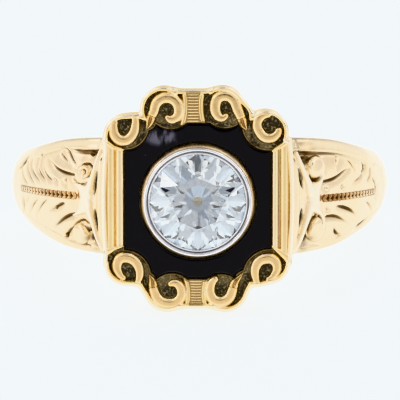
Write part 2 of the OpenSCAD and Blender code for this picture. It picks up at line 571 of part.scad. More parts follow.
// The round old-cut stone. Rings of points from the table down to the flat at the point, with the
// girdle's points shared by its crown and its pavilion: [radius, height, number of points, turn]
module diamond() {
    sides = 8;
    star_share = 0.62;   // how far the star facets' points lie out from the table to the girdle
    lower_share = 0.34;  // radius of the lower facets' inner points, as a share of the girdle's
    lower_lift = 0.97;   // how much shallower those points lie than the pavilion's slope
    pavilion_h = (stone_r - culet_r) * tan(pavilion_angle);
    star_r = star_share * stone_r + (1 - star_share) * table_r;
    star_h = crown_h * (stone_r - star_r * cos(180 / sides)) / (stone_r - table_r);
    lower_r = lower_share * stone_r;
    function ring(r, h, n, turn) =
        [for (i = [0 : n - 1]) let (a = i * 360 / n + turn) [r * cos(a), r * sin(a), h]];
    points = concat(
        ring(table_r, girdle_t + crown_h, sides, 0),
        ring(star_r, girdle_t + star_h, sides, 180 / sides),
        ring(stone_r, girdle_t, 2 * sides, 0),
        ring(stone_r, 0, 2 * sides, 0),
        ring(lower_r, -(stone_r - lower_r) * tan(pavilion_angle) * lower_lift, sides, 180 / sides),
        ring(culet_r, -pavilion_h, sides, 0)
    );
    table = 0;
    star = sides;
    top = 2 * sides;
    low = 4 * sides;
    halves = 6 * sides;
    tip = 7 * sides;
    faces = concat(
        [[for (i = [sides - 1 : -1 : 0]) table + i]],
        [for (i = [0 : sides - 1]) let (j = (i + 1) % sides) each [
            [table + i, table + j, star + i],
            [table + j, top + (2 * i + 2) % (2 * sides), star + i],
            [table + i, star + i, top + 2 * i],
            [star + i, top + 2 * i + 1, top + 2 * i],
            [star + i, top + (2 * i + 2) % (2 * sides), top + 2 * i + 1],
            [low + 2 * i, low + 2 * i + 1, halves + i],
            [low + 2 * i + 1, low + (2 * i + 2) % (2 * sides), halves + i],
            [low + 2 * i, halves + i, tip + i],
            [halves + i, low + (2 * i + 2) % (2 * sides), tip + j],
            [halves + i, tip + j, tip + i]
        ]],
        [for (i = [0 : 2 * sides - 1]) let (j = (i + 1) % (2 * sides)) each [
            [top + i, top + j, low + j], [top + i, low + j, low + i]
        ]],
        [[for (i = [0 : sides - 1]) tip + i]]
    );
    color(stone_colour) lay_down() on_face() translate([0, 0, enamel_d + girdle_h])
        polyhedron(points, faces);
}

gold_mount();
enamel_panel();
stone_rim();
diamond();
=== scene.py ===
"""The enamel ring: chased gold head and shoulders, black enamel, an old-cut stone in a white metal rim.

The ring lies on its side. Its pieces are drawn in the ring's own frame in millimetres: X to the right,
the face toward -Y, the finger hole along Z. laid() then turns them to the place where the solids lie.
"Depth" is a distance in front of the hole's axis, and a height on the face is measured from the enamel.
"""
import json
import math

import bmesh
import bpy
import numpy as np
from mathutils import Matrix, Vector


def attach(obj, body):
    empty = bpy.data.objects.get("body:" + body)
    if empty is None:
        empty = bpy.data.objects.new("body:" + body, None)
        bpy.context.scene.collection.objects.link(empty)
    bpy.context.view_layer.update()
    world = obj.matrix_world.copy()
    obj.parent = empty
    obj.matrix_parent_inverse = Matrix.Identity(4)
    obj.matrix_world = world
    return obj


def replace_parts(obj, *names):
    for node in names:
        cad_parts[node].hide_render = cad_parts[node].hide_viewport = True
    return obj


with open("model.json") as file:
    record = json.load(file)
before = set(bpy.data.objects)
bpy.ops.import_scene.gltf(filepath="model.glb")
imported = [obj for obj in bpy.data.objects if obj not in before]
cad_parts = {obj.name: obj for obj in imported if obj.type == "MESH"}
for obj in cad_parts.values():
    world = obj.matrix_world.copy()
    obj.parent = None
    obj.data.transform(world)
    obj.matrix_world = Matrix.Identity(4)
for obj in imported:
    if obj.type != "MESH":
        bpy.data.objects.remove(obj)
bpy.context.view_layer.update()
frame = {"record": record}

MM = 0.001
HOLE = frame["record"]["mounts"][0]
TILT = math.atan2(HOLE["axis"][1], HOLE["axis"][2])
CENTRE = Vector(HOLE["pos_m"])
BORE_R = HOLE["dims"]["r_mm"]

# Finger band
SIDE_T, BACK_T, SHOULDER_T = 1.65, 1.35, 2.1
SHOULDER_W, SIDE_W, BACK_W = 3.18, 1.76, 1.30
MID_W = (SHOULDER_W + SIDE_W) / 2
ROW_STEP = 15
# Every 15 degrees from the face to the back: half width, thickness, squareness of the section
BAND_ROWS = np.array([
    (SHOULDER_W, 1.00, 4.0), (SHOULDER_W, 1.40, 4.0), (SHOULDER_W, SHOULDER_T, 4.0),
    (SHOULDER_W - 0.20, SHOULDER_T - 0.14, 3.2), (MID_W + 0.06, SIDE_T + 0.15, 2.3),
    (SIDE_W + 0.30, SIDE_T + 0.05, 2.0), (SIDE_W, SIDE_T, 1.9), (SIDE_W - 0.13, SIDE_T - 0.05, 1.9),
    (BACK_W + 0.22, BACK_T + 0.14, 2.0), (BACK_W + 0.14, BACK_T + 0.08, 2.0),
    (BACK_W + 0.07, BACK_T + 0.04, 2.0), (BACK_W + 0.02, BACK_T + 0.01, 2.0), (BACK_W, BACK_T, 2.0),
])
WIDEST = 0.4        # share of the thickness at which the section is widest

# Head, as depths and as heights over the enamel
BACK_D, FOOT_T, FOOT_OUT, DRAFT = 9.3, 0.55, 0.08, 0.2
ENAMEL_D, ENAMEL_T = 11.6, 0.6
GROUND_H, CREST_H, RIM_W = 0.12, 0.50, 0.26
BAR_X, BAR_L, BAR_BULGE = 5.18, 3.40, 0.16
CORE_X, CORE_TOP, CORE_LOW = 3.30, 4.50, 4.35
# Round lobes of the outline: x, y, radius
LOBES = [
    (-1.86, 4.93, 1.26), (1.32, 4.95, 1.26), (-3.90, 3.50, 1.18), (3.66, 3.70, 1.22),
    (-3.84, -3.36, 1.18), (3.76, -3.26, 1.20), (-1.65, -4.67, 1.28), (1.46, -4.67, 1.28),
    (2.05, 4.55, 0.95), (-3.30, 3.86, 0.85), (-2.25, -4.20, 1.00), (-3.20, -3.75, 0.83),
    (2.05, -4.15, 0.95), (3.16, -3.78, 0.83),
]
# Waists between the big lobes: left, right, outer edge, number of ribs
WAISTS = [(-1.30, 0.80, 6.03, 11), (-1.10, 0.90, -5.76, 10)]
WAIST_HALF = 0.48
WINDOW_X, WINDOW_Y = 3.96, 4.21
# Round grounds that bite into the enamel's window: x, y, radius
GROUNDS = [
    (-3.86, 4.00, 1.23), (-1.44, 5.07, 1.21), (1.45, 5.12, 1.21), (3.73, 4.10, 1.37),
    (-3.91, -4.04, 1.39), (-1.39, -5.11, 1.21), (1.24, -5.17, 1.23), (3.86, -4.04, 1.45),
    (-2.75, 4.33, 0.54), (2.64, 4.22, 0.44), (-2.70, -4.30, 0.46), (2.53, -4.30, 0.57),
]
# Scrolls: eye x, eye y, how many rows are leaf, then rows from leaf tip to curl: angle, radius, width
SCROLLS = [
    (-1.70, 4.95, 2, [(226, 1.47, 0.06), (217, 1.08, 0.52), (189, 0.66, 0.62), (140, 0.60, 0.68),
                      (90, 0.61, 0.70), (40, 0.66, 0.70), (0, 0.69, 0.70), (-32, 0.71, 0.64),
                      (-62, 0.63, 0.56), (-80, 0.46, 0.36)]),
    (1.51, 5.00, 2, [(-46, 1.60, 0.06), (-42, 1.22, 0.50), (-22, 0.76, 0.62), (8, 0.56, 0.66),
                     (55, 0.60, 0.68), (94, 0.67, 0.70), (129, 0.69, 0.70), (166, 0.60, 0.70),
                     (204, 0.59, 0.66), (240, 0.60, 0.54), (268, 0.42, 0.38)]),
    (-3.95, 3.93, 0, [(50, 0.86, 0.46), (10, 0.60, 0.58), (-38, 0.58, 0.66), (-80, 0.66, 0.68),
                      (-110, 0.67, 0.68), (-140, 0.62, 0.66), (-175, 0.55, 0.58), (-212, 0.58, 0.44)]),
    (3.86, 4.04, 0, [(100, 0.66, 0.50), (135, 0.70, 0.58), (167, 0.70, 0.62), (208, 0.64, 0.66),
                     (243, 0.66, 0.66), (285, 0.62, 0.60), (330, 0.52, 0.46)]),
    (-1.59, -4.84, 2, [(139, 1.30, 0.06), (150, 0.96, 0.50), (184, 0.74, 0.62), (225, 0.70, 0.70),
                       (270, 0.68, 0.70), (307, 0.74, 0.68), (340, 0.74, 0.64), (372, 0.68, 0.60),
                       (404, 0.60, 0.54), (432, 0.42, 0.38)]),
    (1.24, -4.79, 8, [(118, 0.68, 0.46), (160, 0.60, 0.60), (200, 0.60, 0.66), (237, 0.65, 0.70),
                      (275, 0.62, 0.70), (312, 0.60, 0.68), (355, 0.60, 0.64), (388, 0.84, 0.52),
                      (398, 1.46, 0.06)]),
    (-3.79, -3.67, 0, [(245, 0.48, 0.36), (200, 0.48, 0.50), (160, 0.58, 0.62), (124, 0.68, 0.68),
                       (94, 0.64, 0.68), (55, 0.60, 0.66), (14, 0.62, 0.62), (-21, 0.72, 0.54),
                       (-45, 0.84, 0.42)]),
    (3.70, -3.67, 0, [(-80, 0.52, 0.36), (-30, 0.48, 0.50), (24, 0.58, 0.62), (61, 0.62, 0.68),
                      (95, 0.59, 0.68), (132, 0.60, 0.66), (170, 0.62, 0.62), (206, 0.70, 0.54),
                      (230, 0.84, 0.42)]),
]
# Reeds along the bars, left and right: distance in from the widest edge, half width, height
REEDS = {-1: [(0.50, 0.23, 0.44), (0.99, 0.22, 0.40)], 1: [(0.53, 0.24, 0.44), (1.04, 0.17, 0.40)]}
# Tapered caps at the bars' ends, from the rim inwards: x, y and width
CAPS = [
    [(-5.00, 3.26, 0.30), (-4.52, 2.90, 0.24), (-3.94, 2.78, 0.12)],
    [(4.86, 3.24, 0.30), (4.40, 2.94, 0.24), (3.92, 2.70, 0.12)],
    [(-5.00, -2.76, 0.50), (-4.50, -2.52, 0.28), (-3.98, -2.40, 0.10)],
    [(4.98, -3.30, 0.44), (4.78, -3.00, 0.46), (4.42, -2.72, 0.34), (3.96, -2.42, 0.10)],
]
# The head's skin: points round it, rows over its face, steps down its wall with the wear and painted
# highlight on them, and steps round its foot as shares of the foot's projection and of its height
HEAD_TURNS, FACE_ROWS = 1200, 58
WALL_STEPS = (0.05, 0.15, 0.3, 0.5, 0.7, 0.88, 1.0)
WALL_WEAR_AND_HIGHLIGHT = (0.9, 0.7, 0.4, 0.2, 0.1, 0, 0)
FOOT_STEPS = ((0.5, 0.95), (0.9, 0.82), (1.0, 0.6), (1.0, 0.3), (0.8, 0.1), (0.3, 0.0), (-1.5, 0.0))
# Rows of the enamel's surface, from the cone to the frame
ENAMEL_ROWS = (0, 0.01, 0.03, 0.08, 0.16, 0.28, 0.42, 0.58, 0.72, 0.84, 0.92, 0.97, 0.99, 1.0)

# Stone and its setting
STONE_R, TABLE_R, CULET_R = 2.66, 1.38, 0.27
CROWN_H, GIRDLE_T, GIRDLE_H = 0.93, 0.12, 0.60
STAR_SHARE = 0.62     # where a star's point lies between table and girdle
LOWER_SHARE = 0.34    # where the girdle facets of the back end, over the stone's radius
PAVILION = math.radians(41)
STONE_RIM_R, STONE_LIP_R, CONE_R = 2.82, 2.56, 3.08
RIM_OUT_R, RIM_FOOT = 2.92, 0.26
CONE_TOP = GIRDLE_H - 0.08
GAP = 0.02
RING_SEGMENTS = 192

# Carving on the two shoulders, in rows of angle from the face, height across the band and a third value:
# a width for flares and gullies, a depth for cuts and swirls. Knobs, pits and shades are spots: angle,
# height across the band, radius, and how high, deep or dark they are; shades are painted shade with no
# depth.
# The borders are rows of angle and height. The stem: height across the band, first angle, last angle, pairs
# of grains.
SHOULDERS = {
    -1: {
        "cuts": [
            [(50.6, 1.82, 0.03), (48.3, 1.56, 0.14), (46.3, 1.38, 0.22), (43.0, 1.22, 0.26),
             (39.0, 1.12, 0.18)],
            [(45.4, 2.66, 0.04), (43.2, 2.50, 0.12), (41.4, 2.34, 0.20), (40.0, 2.06, 0.22),
             (38.5, 1.72, 0.12)],
            [(46.4, 2.36, 0.04), (45.0, 2.20, 0.14), (43.3, 2.00, 0.18), (41.6, 1.80, 0.08)],
            [(54.5, 1.90, 0.10), (53.9, 1.44, 0.18), (52.1, 1.04, 0.20), (50.0, 0.80, 0.17),
             (48.0, 0.66, 0.05)],
            [(57.5, 1.78, 0.10), (57.0, 1.36, 0.20), (55.0, 0.98, 0.22), (51.6, 0.60, 0.06)],
            [(62.5, 1.62, 0.10), (61.5, 1.24, 0.18), (59.0, 0.88, 0.20), (54.8, 0.48, 0.06)],
            [(65.4, 1.46, 0.10), (64.2, 1.06, 0.17), (61.7, 0.70, 0.18), (58.2, 0.28, 0.05)],
            [(70.5, 1.20, 0.08), (68.6, 0.80, 0.15), (66.0, 0.46, 0.15), (63.0, 0.24, 0.05)],
            [(48.8, -1.94, 0.03), (46.5, -1.66, 0.14), (43.8, -1.34, 0.22), (41.2, -1.12, 0.24),
             (38.8, -0.98, 0.14)],
            [(50.4, -0.98, 0.03), (47.4, -0.78, 0.14), (45.1, -0.57, 0.22), (43.2, -0.48, 0.12)],
            [(43.8, -2.42, 0.10), (42.6, -2.20, 0.24), (41.0, -1.93, 0.20), (38.8, -1.70, 0.08)],
            [(49.6, -0.26, 0.04), (54.1, -0.66, 0.13), (57.6, -1.26, 0.05)],
            [(55.0, -0.30, 0.04), (59.8, -0.76, 0.12), (62.6, -1.22, 0.05)],
            [(60.0, -0.26, 0.03), (64.0, -0.60, 0.07), (66.0, -0.96, 0.03)],
            [(66.5, 1.80, 0.08), (68.6, 1.62, 0.24), (70.4, 1.40, 0.22), (73.6, 1.06, 0.10)],
            [(68.0, -0.60, 0.10), (69.2, -0.90, 0.30), (69.8, -1.18, 0.12)],
            [(48.6, 0.86, 0.05), (47.0, 0.76, 0.12), (45.6, 0.60, 0.06)],
            [(41.8, 1.00, 0.06), (42.5, 0.78, 0.14), (41.7, 0.56, 0.08)],
            [(41.5, 2.50, 0.04), (37.2, 2.49, 0.22), (33.1, 2.50, 0.26), (29.4, 2.52, 0.26)],
            [(55.0, 2.00, 0.10), (50.0, 2.22, 0.10), (46.0, 2.40, 0.08), (43.9, 2.56, 0.04)],
        ],
        "knobs": [(35.3, 1.14, 0.56, 0.22), (36.6, -2.10, 0.62, 0.20)],
        "swirls": [
            [(37.6, 1.50, 0.05), (36.0, 1.66, 0.14), (34.4, 1.76, 0.20), (32.9, 1.72, 0.22),
             (32.0, 1.46, 0.22), (32.5, 1.16, 0.18), (34.0, 0.98, 0.10)],
            [(35.6, 1.36, 0.10), (34.5, 1.46, 0.16), (33.8, 1.32, 0.18), (34.2, 1.14, 0.08)],
            [(38.9, 0.88, 0.10), (37.4, 0.68, 0.18), (35.3, 0.64, 0.16), (33.4, 0.78, 0.10)],
            [(41.0, -2.20, 0.10), (39.2, -1.76, 0.14), (37.5, -1.46, 0.16), (35.3, -1.32, 0.18),
             (33.6, -1.48, 0.14)],
            [(35.9, -1.50, 0.08), (34.6, -1.68, 0.12), (33.4, -1.90, 0.16)],
            [(42.6, -2.50, 0.05), (38.0, -2.66, 0.12), (33.6, -2.76, 0.14)],
        ],
        "flare": [
            [(36.2, 0.50, 0.50), (34.9, 0.20, 0.86), (34.4, -0.15, 0.98), (34.9, -0.50, 0.86),
             (36.2, -0.80, 0.50)],
            [(33.6, 0.20, 0.62), (32.7, 0.72, 0.44), (31.6, 1.26, 0.34), (30.6, 1.84, 0.28),
             (29.5, 2.50, 0.26)],
            [(33.6, -0.46, 0.62), (32.7, -1.00, 0.44), (31.6, -1.56, 0.34), (30.7, -2.14, 0.28),
             (29.5, -2.84, 0.26)],
            [(36.0, 0.46, 0.36), (37.4, 0.60, 0.20), (38.6, 0.62, 0.08)],
            [(36.0, -0.80, 0.36), (37.6, -1.00, 0.20), (38.8, -1.06, 0.08)],
        ],
        "border": [(29.0, 2.54), (36.7, 2.52), (43.0, 2.44), (48.0, 2.28), (54.5, 2.02), (64.6, 1.70),
                   (74.0, 1.20)],
        "lower_border": [(29.0, -2.86), (35.8, -2.76), (40.6, -2.60), (46.0, -2.28), (56.0, -1.86),
                         (72.0, -1.30)],
        "pits": [(56.3, 2.02, 0.13, 0.20), (46.8, -0.76, 0.13, 0.18), (31.6, -2.24, 0.36, 0.26),
                 (32.4, 2.36, 0.20, 0.16), (32.6, -1.80, 0.24, 0.16), (43.0, -2.28, 0.16, 0.20)],
        "gullies": [
            [(31.4, 0.10, 0.08), (30.9, 0.70, 0.26), (30.3, 1.36, 0.10)],
            [(31.2, -0.70, 0.10), (30.7, -1.26, 0.28), (30.1, -1.84, 0.10)],
        ],
        "shades": [(31.0, -2.62, 0.55, 0.75), (33.6, -2.30, 0.34, 0.70), (31.0, 2.30, 0.40, 0.50)],
        "stem": (-0.02, 38.2, 67.0, 16),
    },
    1: {
        "cuts": [
            [(39.4, 0.76, 0.20), (42.4, 0.84, 0.26), (44.8, 0.96, 0.24), (48.1, 1.20, 0.16),
             (51.2, 1.36, 0.03)],
            [(44.6, 1.58, 0.07), (44.8, 1.86, 0.15), (45.2, 2.20, 0.05)],
            [(57.6, 1.00, 0.04), (59.2, 1.16, 0.22), (60.4, 1.34, 0.24), (59.6, 1.56, 0.10)],
            [(52.0, 0.50, 0.05), (56.0, 0.70, 0.14), (58.5, 1.00, 0.06)],
            [(49.6, 1.90, 0.05), (52.4, 1.62, 0.14), (53.6, 1.26, 0.05)],
            [(40.5, -1.15, 0.20), (43.9, -1.18, 0.22), (46.9, -1.36, 0.16), (51.4, -1.72, 0.03)],
            [(44.8, -0.66, 0.10), (48.0, -0.74, 0.24), (52.0, -0.98, 0.20), (55.2, -1.32, 0.04)],
            [(44.2, -1.86, 0.08), (45.2, -2.10, 0.22), (46.4, -2.24, 0.16), (48.2, -2.32, 0.04)],
            [(56.4, -2.00, 0.12), (59.0, -1.86, 0.24), (64.0, -1.62, 0.06)],
            [(61.0, 0.44, 0.06), (63.0, 0.72, 0.20), (64.4, 1.14, 0.12)],
            [(60.0, -0.62, 0.05), (63.4, -0.80, 0.13), (65.8, -1.12, 0.08)],
            [(66.0, 0.60, 0.10), (68.4, 0.20, 0.20), (68.0, -0.60, 0.10)],
            [(29.0, 2.46, 0.26), (34.9, 2.38, 0.22), (44.7, 2.24, 0.14), (53.3, 1.92, 0.08),
             (62.3, 1.56, 0.06)],
        ],
        "knobs": [(36.4, 1.58, 0.62, 0.14), (36.4, -1.84, 0.72, 0.18)],
        "swirls": [
            [(38.6, 1.20, 0.06), (38.0, 0.98, 0.20), (36.6, 0.86, 0.26), (34.9, 0.90, 0.28),
             (33.1, 1.14, 0.26), (31.8, 1.54, 0.20), (30.6, 2.00, 0.10)],
            [(36.4, -1.10, 0.22), (35.2, -1.24, 0.28), (34.0, -1.48, 0.26), (33.3, -1.86, 0.18),
             (33.4, -2.20, 0.06)],
            [(38.2, -1.64, 0.10), (38.3, -1.30, 0.20), (37.2, -1.06, 0.10)],
            [(46.6, 0.36, 0.10), (47.1, 0.46, 0.10), (47.8, 0.36, 0.10), (47.2, 0.27, 0.10),
             (46.6, 0.36, 0.10)],
        ],
        "flare": [
            [(36.9, 0.62, 0.34), (35.8, 0.34, 0.76), (35.6, -0.10, 0.96), (35.8, -0.54, 0.76),
             (36.9, -0.84, 0.34)],
            [(34.2, 0.30, 0.64), (33.2, 0.82, 0.48), (31.7, 1.40, 0.40), (30.6, 1.86, 0.36),
             (29.5, 2.36, 0.32)],
            [(34.2, -0.60, 0.64), (33.0, -1.18, 0.48), (31.8, -1.78, 0.40), (30.8, -2.34, 0.36),
             (29.7, -2.92, 0.32)],
            [(36.4, 0.52, 0.40), (37.7, 0.78, 0.30), (38.5, 1.06, 0.28), (38.4, 1.30, 0.18)],
            [(36.4, -0.78, 0.40), (38.0, -1.04, 0.28), (38.7, -1.32, 0.26), (38.3, -1.64, 0.16)],
        ],
        "border": [(29.0, 2.48), (35.0, 2.40), (44.7, 2.26), (53.3, 1.94), (62.3, 1.58), (74.0, 1.10)],
        "lower_border": [(29.0, -2.94), (38.1, -2.82), (45.3, -2.54), (53.1, -2.10), (62.0, -1.68),
                         (73.0, -1.24)],
        "pits": [(68.9, 1.30, 0.09, 0.20), (31.8, 1.96, 0.40, 0.26), (33.6, 2.10, 0.30, 0.16),
                 (31.7, -2.20, 0.42, 0.28), (32.9, -1.70, 0.28, 0.16), (45.6, 2.04, 0.14, 0.10),
                 (40.0, 0.40, 0.20, 0.10), (40.6, -0.76, 0.22, 0.10)],
        "gullies": [
            [(31.4, 0.52, 0.10), (30.7, 1.00, 0.28), (29.9, 1.56, 0.12)],
            [(31.3, -0.66, 0.10), (30.9, -1.10, 0.26), (30.3, -1.56, 0.10)],
        ],
        "shades": [(30.8, 2.85, 0.90, 0.62), (34.6, 2.70, 0.50, 0.45), (32.4, -2.66, 0.60, 0.75),
                   (34.0, -2.30, 0.36, 0.65)],
        "stem": (-0.17, 39.2, 65.5, 15),
    },
}


def laid(points):
    """Ring frame in millimetres to the place where the ring lies, in metres."""
    p = np.asarray(points, float)
    c, s = math.cos(TILT), math.sin(TILT)
    y, z = p[..., 1], p[..., 2]
    return np.stack([
        CENTRE.x + MM * p[..., 0], CENTRE.y + MM * (y * c + z * s), CENTRE.z + MM * (z * c - y * s)
    ], -1)


def face_point(x, y, height):
    """A place on the face, its height measured from the enamel."""
    x, y, height = np.broadcast_arrays(x, y, height)
    return np.stack([x, -(ENAMEL_D + height), y], -1)


def hoop_point(r, angle, z):
    """A place round the hoop, its angle in degrees from the middle of the face."""
    r, angle, z = np.broadcast_arrays(r, np.radians(angle), z)
    return np.stack([r * np.sin(angle), -r * np.cos(angle), z], -1)


def along(rows, s):
    """A smooth curve through the rows of a table; s counts the rows."""
    rows, s = np.asarray(rows, float), np.asarray(s, float)
    last = len(rows) - 1
    i = np.clip(np.floor(s).astype(int), 0, last - 1)
    a, b, c, d = rows[np.maximum(i - 1, 0)], rows[i], rows[i + 1], rows[np.minimum(i + 2, last)]
    u = (s - i)[..., None]
    return 0.5 * (
        2 * b + (c - a) * u + (2 * a - 5 * b + 4 * c - d) * u ** 2 + (3 * b - a - 3 * c + d) * u ** 3)


def dense(rows, steps):
    """The smooth curve through the rows, so many steps from one to the next."""
    return along(rows, np.linspace(0, len(rows) - 1, (len(rows) - 1) * steps + 1))


def smooth_step(x, low, high):
    """0 at low, 1 at high and smooth between them."""
    t = np.clip((x - low) / (high - low), 0, 1)
    return t * t * (3 - 2 * t)


def new_piece(name, points, faces, material, smooth=True):
    """A mesh piece that rides on the ring, from points in the ring frame."""
    mesh = bpy.data.meshes.new(name)
    mesh.from_pydata(laid(points).reshape(-1, 3).tolist(), [], faces)
    mesh.validate()
    return finished(name, mesh, material, smooth)


def placed(name, data):
    """A new object in the scene."""
    thing = bpy.data.objects.new(name, data)
    bpy.context.scene.collection.objects.link(thing)
    return thing


def finished(name, mesh, material, smooth=True):
    """A piece that rides on the ring, all in one material, its faces turned outwards."""
    mesh.materials.clear()
    mesh.materials.append(material)
    mesh.polygons.foreach_set("material_index", np.zeros(len(mesh.polygons), np.int32))
    mesh.polygons.foreach_set("use_smooth", np.full(len(mesh.polygons), smooth))
    turn_outward(mesh)
    piece = placed(name, mesh)
    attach(piece, "root")
    return piece


def vertices(mesh):
    """A mesh's points, one to a row."""
    points = np.zeros(len(mesh.vertices) * 3)
    mesh.vertices.foreach_get("co", points)
    return points.reshape(-1, 3)


def turn_outward(mesh):
    """Turns a closed shell whose faces point inwards."""
    mesh.calc_loop_triangles()
    points = vertices(mesh)
    points = points - points.mean(0)
    corners = np.zeros(len(mesh.loop_triangles) * 3, np.int32)
    mesh.loop_triangles.foreach_get("vertices", corners)
    a, b, c = (points[corners.reshape(-1, 3)[:, k]] for k in range(3))
    if np.einsum("ij,ij->i", a, np.cross(b, c)).sum() < 0:
        mesh.flip_normals()


def grid_faces(rows, columns, wrap_rows=False):
    """Quads over a grid of points whose columns go round. The rows go round too, or else the first and the
    last of them are closed by one face each."""
    i = np.arange(rows if wrap_rows else rows - 1)[:, None]
    j = np.arange(columns)[None, :]
    i2, j2 = (i + 1) % rows, (j + 1) % columns
    quads = np.stack([i * columns + j, i * columns + j2, i2 * columns + j2, i2 * columns + j], -1)
    faces = quads.reshape(-1, 4).tolist()
    if not wrap_rows:
        faces.append(list(range(columns))[::-1])
        faces.append([(rows - 1) * columns + k for k in range(columns)])
    return faces


def mark(piece, name, values, domain="POINT"):
    """Stores a value on every point or face of a piece, for its material."""
    attribute = piece.data.attributes.new(name, "FLOAT", domain)
    attribute.data.foreach_set("value", np.asarray(values, np.float32).ravel())


# Node helpers

class Nodes:
    """A short way to add, join and calculate with the nodes of a tree."""

    def __init__(self, tree):
        self.nodes, self.links = tree.nodes, tree.links

    def join(self, socket, value):
        if isinstance(value, bpy.types.NodeSocket):
            self.links.new(value, socket)
        elif socket.type == "RGBA":
            socket.default_value = (*value, 1)
        else:
            socket.default_value = value

    def add(self, kind, joins=(), **values):
        node = self.nodes.new(kind)
        for key, value in values.items():
            setattr(node, key, value)
        for socket, value in dict(joins).items():
            self.join(node.inputs[socket], value)
        return node

    def math(self, operation, a, b=0.0):
        return self.add("ShaderNodeMath", {0: a, 1: b}, operation=operation).outputs[0]

    def plus(self, a, b):
        return self.math("ADD", a, b)

    def less(self, a, b):
        return self.math("SUBTRACT", a, b)

    def times(self, a, *others):
        for b in others:
            a = self.math("MULTIPLY", a, b)
        return a


class Paint(Nodes):
    """A material, its tree and the Object coordinates that its patterns follow."""

    def __init__(self, name):
        self.material = bpy.data.materials.new(name)
        self.material.use_nodes = True
        super().__init__(self.material.node_tree)
        self.shader = self.nodes["Principled BSDF"]
        self.place = self.nodes.new("ShaderNodeTexCoord").outputs["Object"]

    def set(self, **values):
        for key, value in values.items():
            self.join(self.shader.inputs[key.replace("_", " ")], value)

    def noise(self, scale, detail, stretch=None):
        where = self.place
        if stretch:
            where = self.add("ShaderNodeMapping", {"Vector": where, "Scale": stretch}).outputs[0]
        return self.add("ShaderNodeTexNoise", {"Vector": where, "Scale": scale, "Detail": detail}).outputs[0]

    def length(self, vector):
        return self.add("ShaderNodeVectorMath", {0: vector}, operation="LENGTH").outputs["Value"]

    def ranged(self, value, low, high, to_low=0, to_high=1):
        return self.add("ShaderNodeMapRange", {
            "Value": value, "From Min": low, "From Max": high, "To Min": to_low, "To Max": to_high,
        }, interpolation_type="SMOOTHSTEP").outputs[0]

    def blended(self, share, first, second):
        return self.add("ShaderNodeMix", data_type="RGBA", joins={0: share, 6: first, 7: second}).outputs[2]

    def attribute(self, name):
        return self.add("ShaderNodeAttribute", attribute_name=name).outputs["Fac"]

    def bumps(self, height, depth, strength, under=None):
        joins = {"Height": height, "Distance": depth, "Strength": strength}
        if under is not None:
            joins["Normal"] = under
        return self.add("ShaderNodeBump", joins).outputs[0]


# Materials

GOLD = (0.98, 0.78, 0.38)
WARM_GOLD = (0.95, 0.66, 0.32)
PALE_GOLD = (0.96, 0.79, 0.55)
CREAM_GOLD = (0.96, 0.76, 0.47)
# Painted warm shade in the scrolls' dishes and on their leaves
PEACH_SHADE_GOLD = (0.97, 0.69, 0.34)
# Paleness from wear and from painted highlight
WORN_HIGHLIGHT_GOLD = (0.97, 0.86, 0.68)
# Painted shade for creases, grooves, pits and hollows
PAINTED_SHADE_GOLD = (0.15, 0.092, 0.048)
# The matted ground: dark painted shade, and painted glints on its specks
MATTED_SHADE_GOLD = (0.055, 0.046, 0.035)
PUNCHED_GLINT_GOLD = (0.27, 0.23, 0.14)
WHITE_METALS = (0.84, 0.82, 0.83), (0.74, 0.73, 0.75)
# Painted shade in the white rim's groove and under its lip
GROOVE_SHADE = (0.07, 0.065, 0.07)
BLACK, SCUFFED, PIN_HOLE = (0.0024, 0.0020, 0.0028), (0.095, 0.088, 0.112), (0.02, 0.018, 0.02)
# The scuff on the enamel: where its middle lies on the face, its half length and width, how it is turned
SCUFF_PLACE = (-1.95, 3.45)
SCUFF_SIZE = (1.25, 0.60)
SCUFF_TURN = math.radians(28)
CLEAR = (0.94, 0.985, 1.0), (0.97, 0.99, 1.0)
SLATE = (0.03, 0.10, 0.20)
# The paper's glow under the ring and far from it, and its own colour
FLOOR_GLOW, FLOOR_FAR = (1.04, 1.09, 1.12), (1.25, 1.25, 1.25)
FLOOR_PAINT = (0.20, 0.21, 0.215)


def chased_gold(name, plain, other, softness):
    """Hand-polished gold. Four marks steer it, each 1 where it applies: shade painted into creases, grooves
    and hollows; the matted ground, painted dark as shade with painted glints on its specks; warm shade
    painted into the dished scrolls and leaves; and edges made pale by wear and a painted highlight and, by
    the softness, dull."""
    p = Paint(name)
    painted_shade, ground, wear_and_highlight = p.attribute("painted_shade"), p.attribute("ground"), p.attribute("wear_and_highlight")
    tone = p.blended(p.ranged(p.noise(650, 4), 0.2, 0.85), plain, other)
    # Painted warm shade, wear with painted highlight, then painted shade in creases and hollows
    for share, colour in ((p.attribute("warm_shade"), PEACH_SHADE_GOLD), (wear_and_highlight, WORN_HIGHLIGHT_GOLD), (painted_shade, PAINTED_SHADE_GOLD)):
        tone = p.blended(share, tone, colour)
    # The matted ground is painted dark as shade, with painted glints on its specks.
    speck = p.noise(9000, 2)
    matted = p.blended(p.ranged(speck, 0.50, 0.70), MATTED_SHADE_GOLD, PUNCHED_GLINT_GOLD)
    tone = p.blended(ground, tone, matted)
    rough = p.ranged(p.noise(2400, 5), 0.3, 0.75, 0.12, 0.24)
    for share, duller in ((painted_shade, 0.20), (ground, 0.26), (wear_and_highlight, softness)):
        rough = p.plus(rough, p.times(share, duller))
    tool_marks = p.bumps(p.noise(1500, 3), 0.00002, 0.35)
    punched = p.bumps(p.times(speck, ground), 0.00003, 0.9, under=tool_marks)
    p.set(Base_Color=tone, Metallic=1.0, Roughness=rough, Normal=punched)
    return p.material


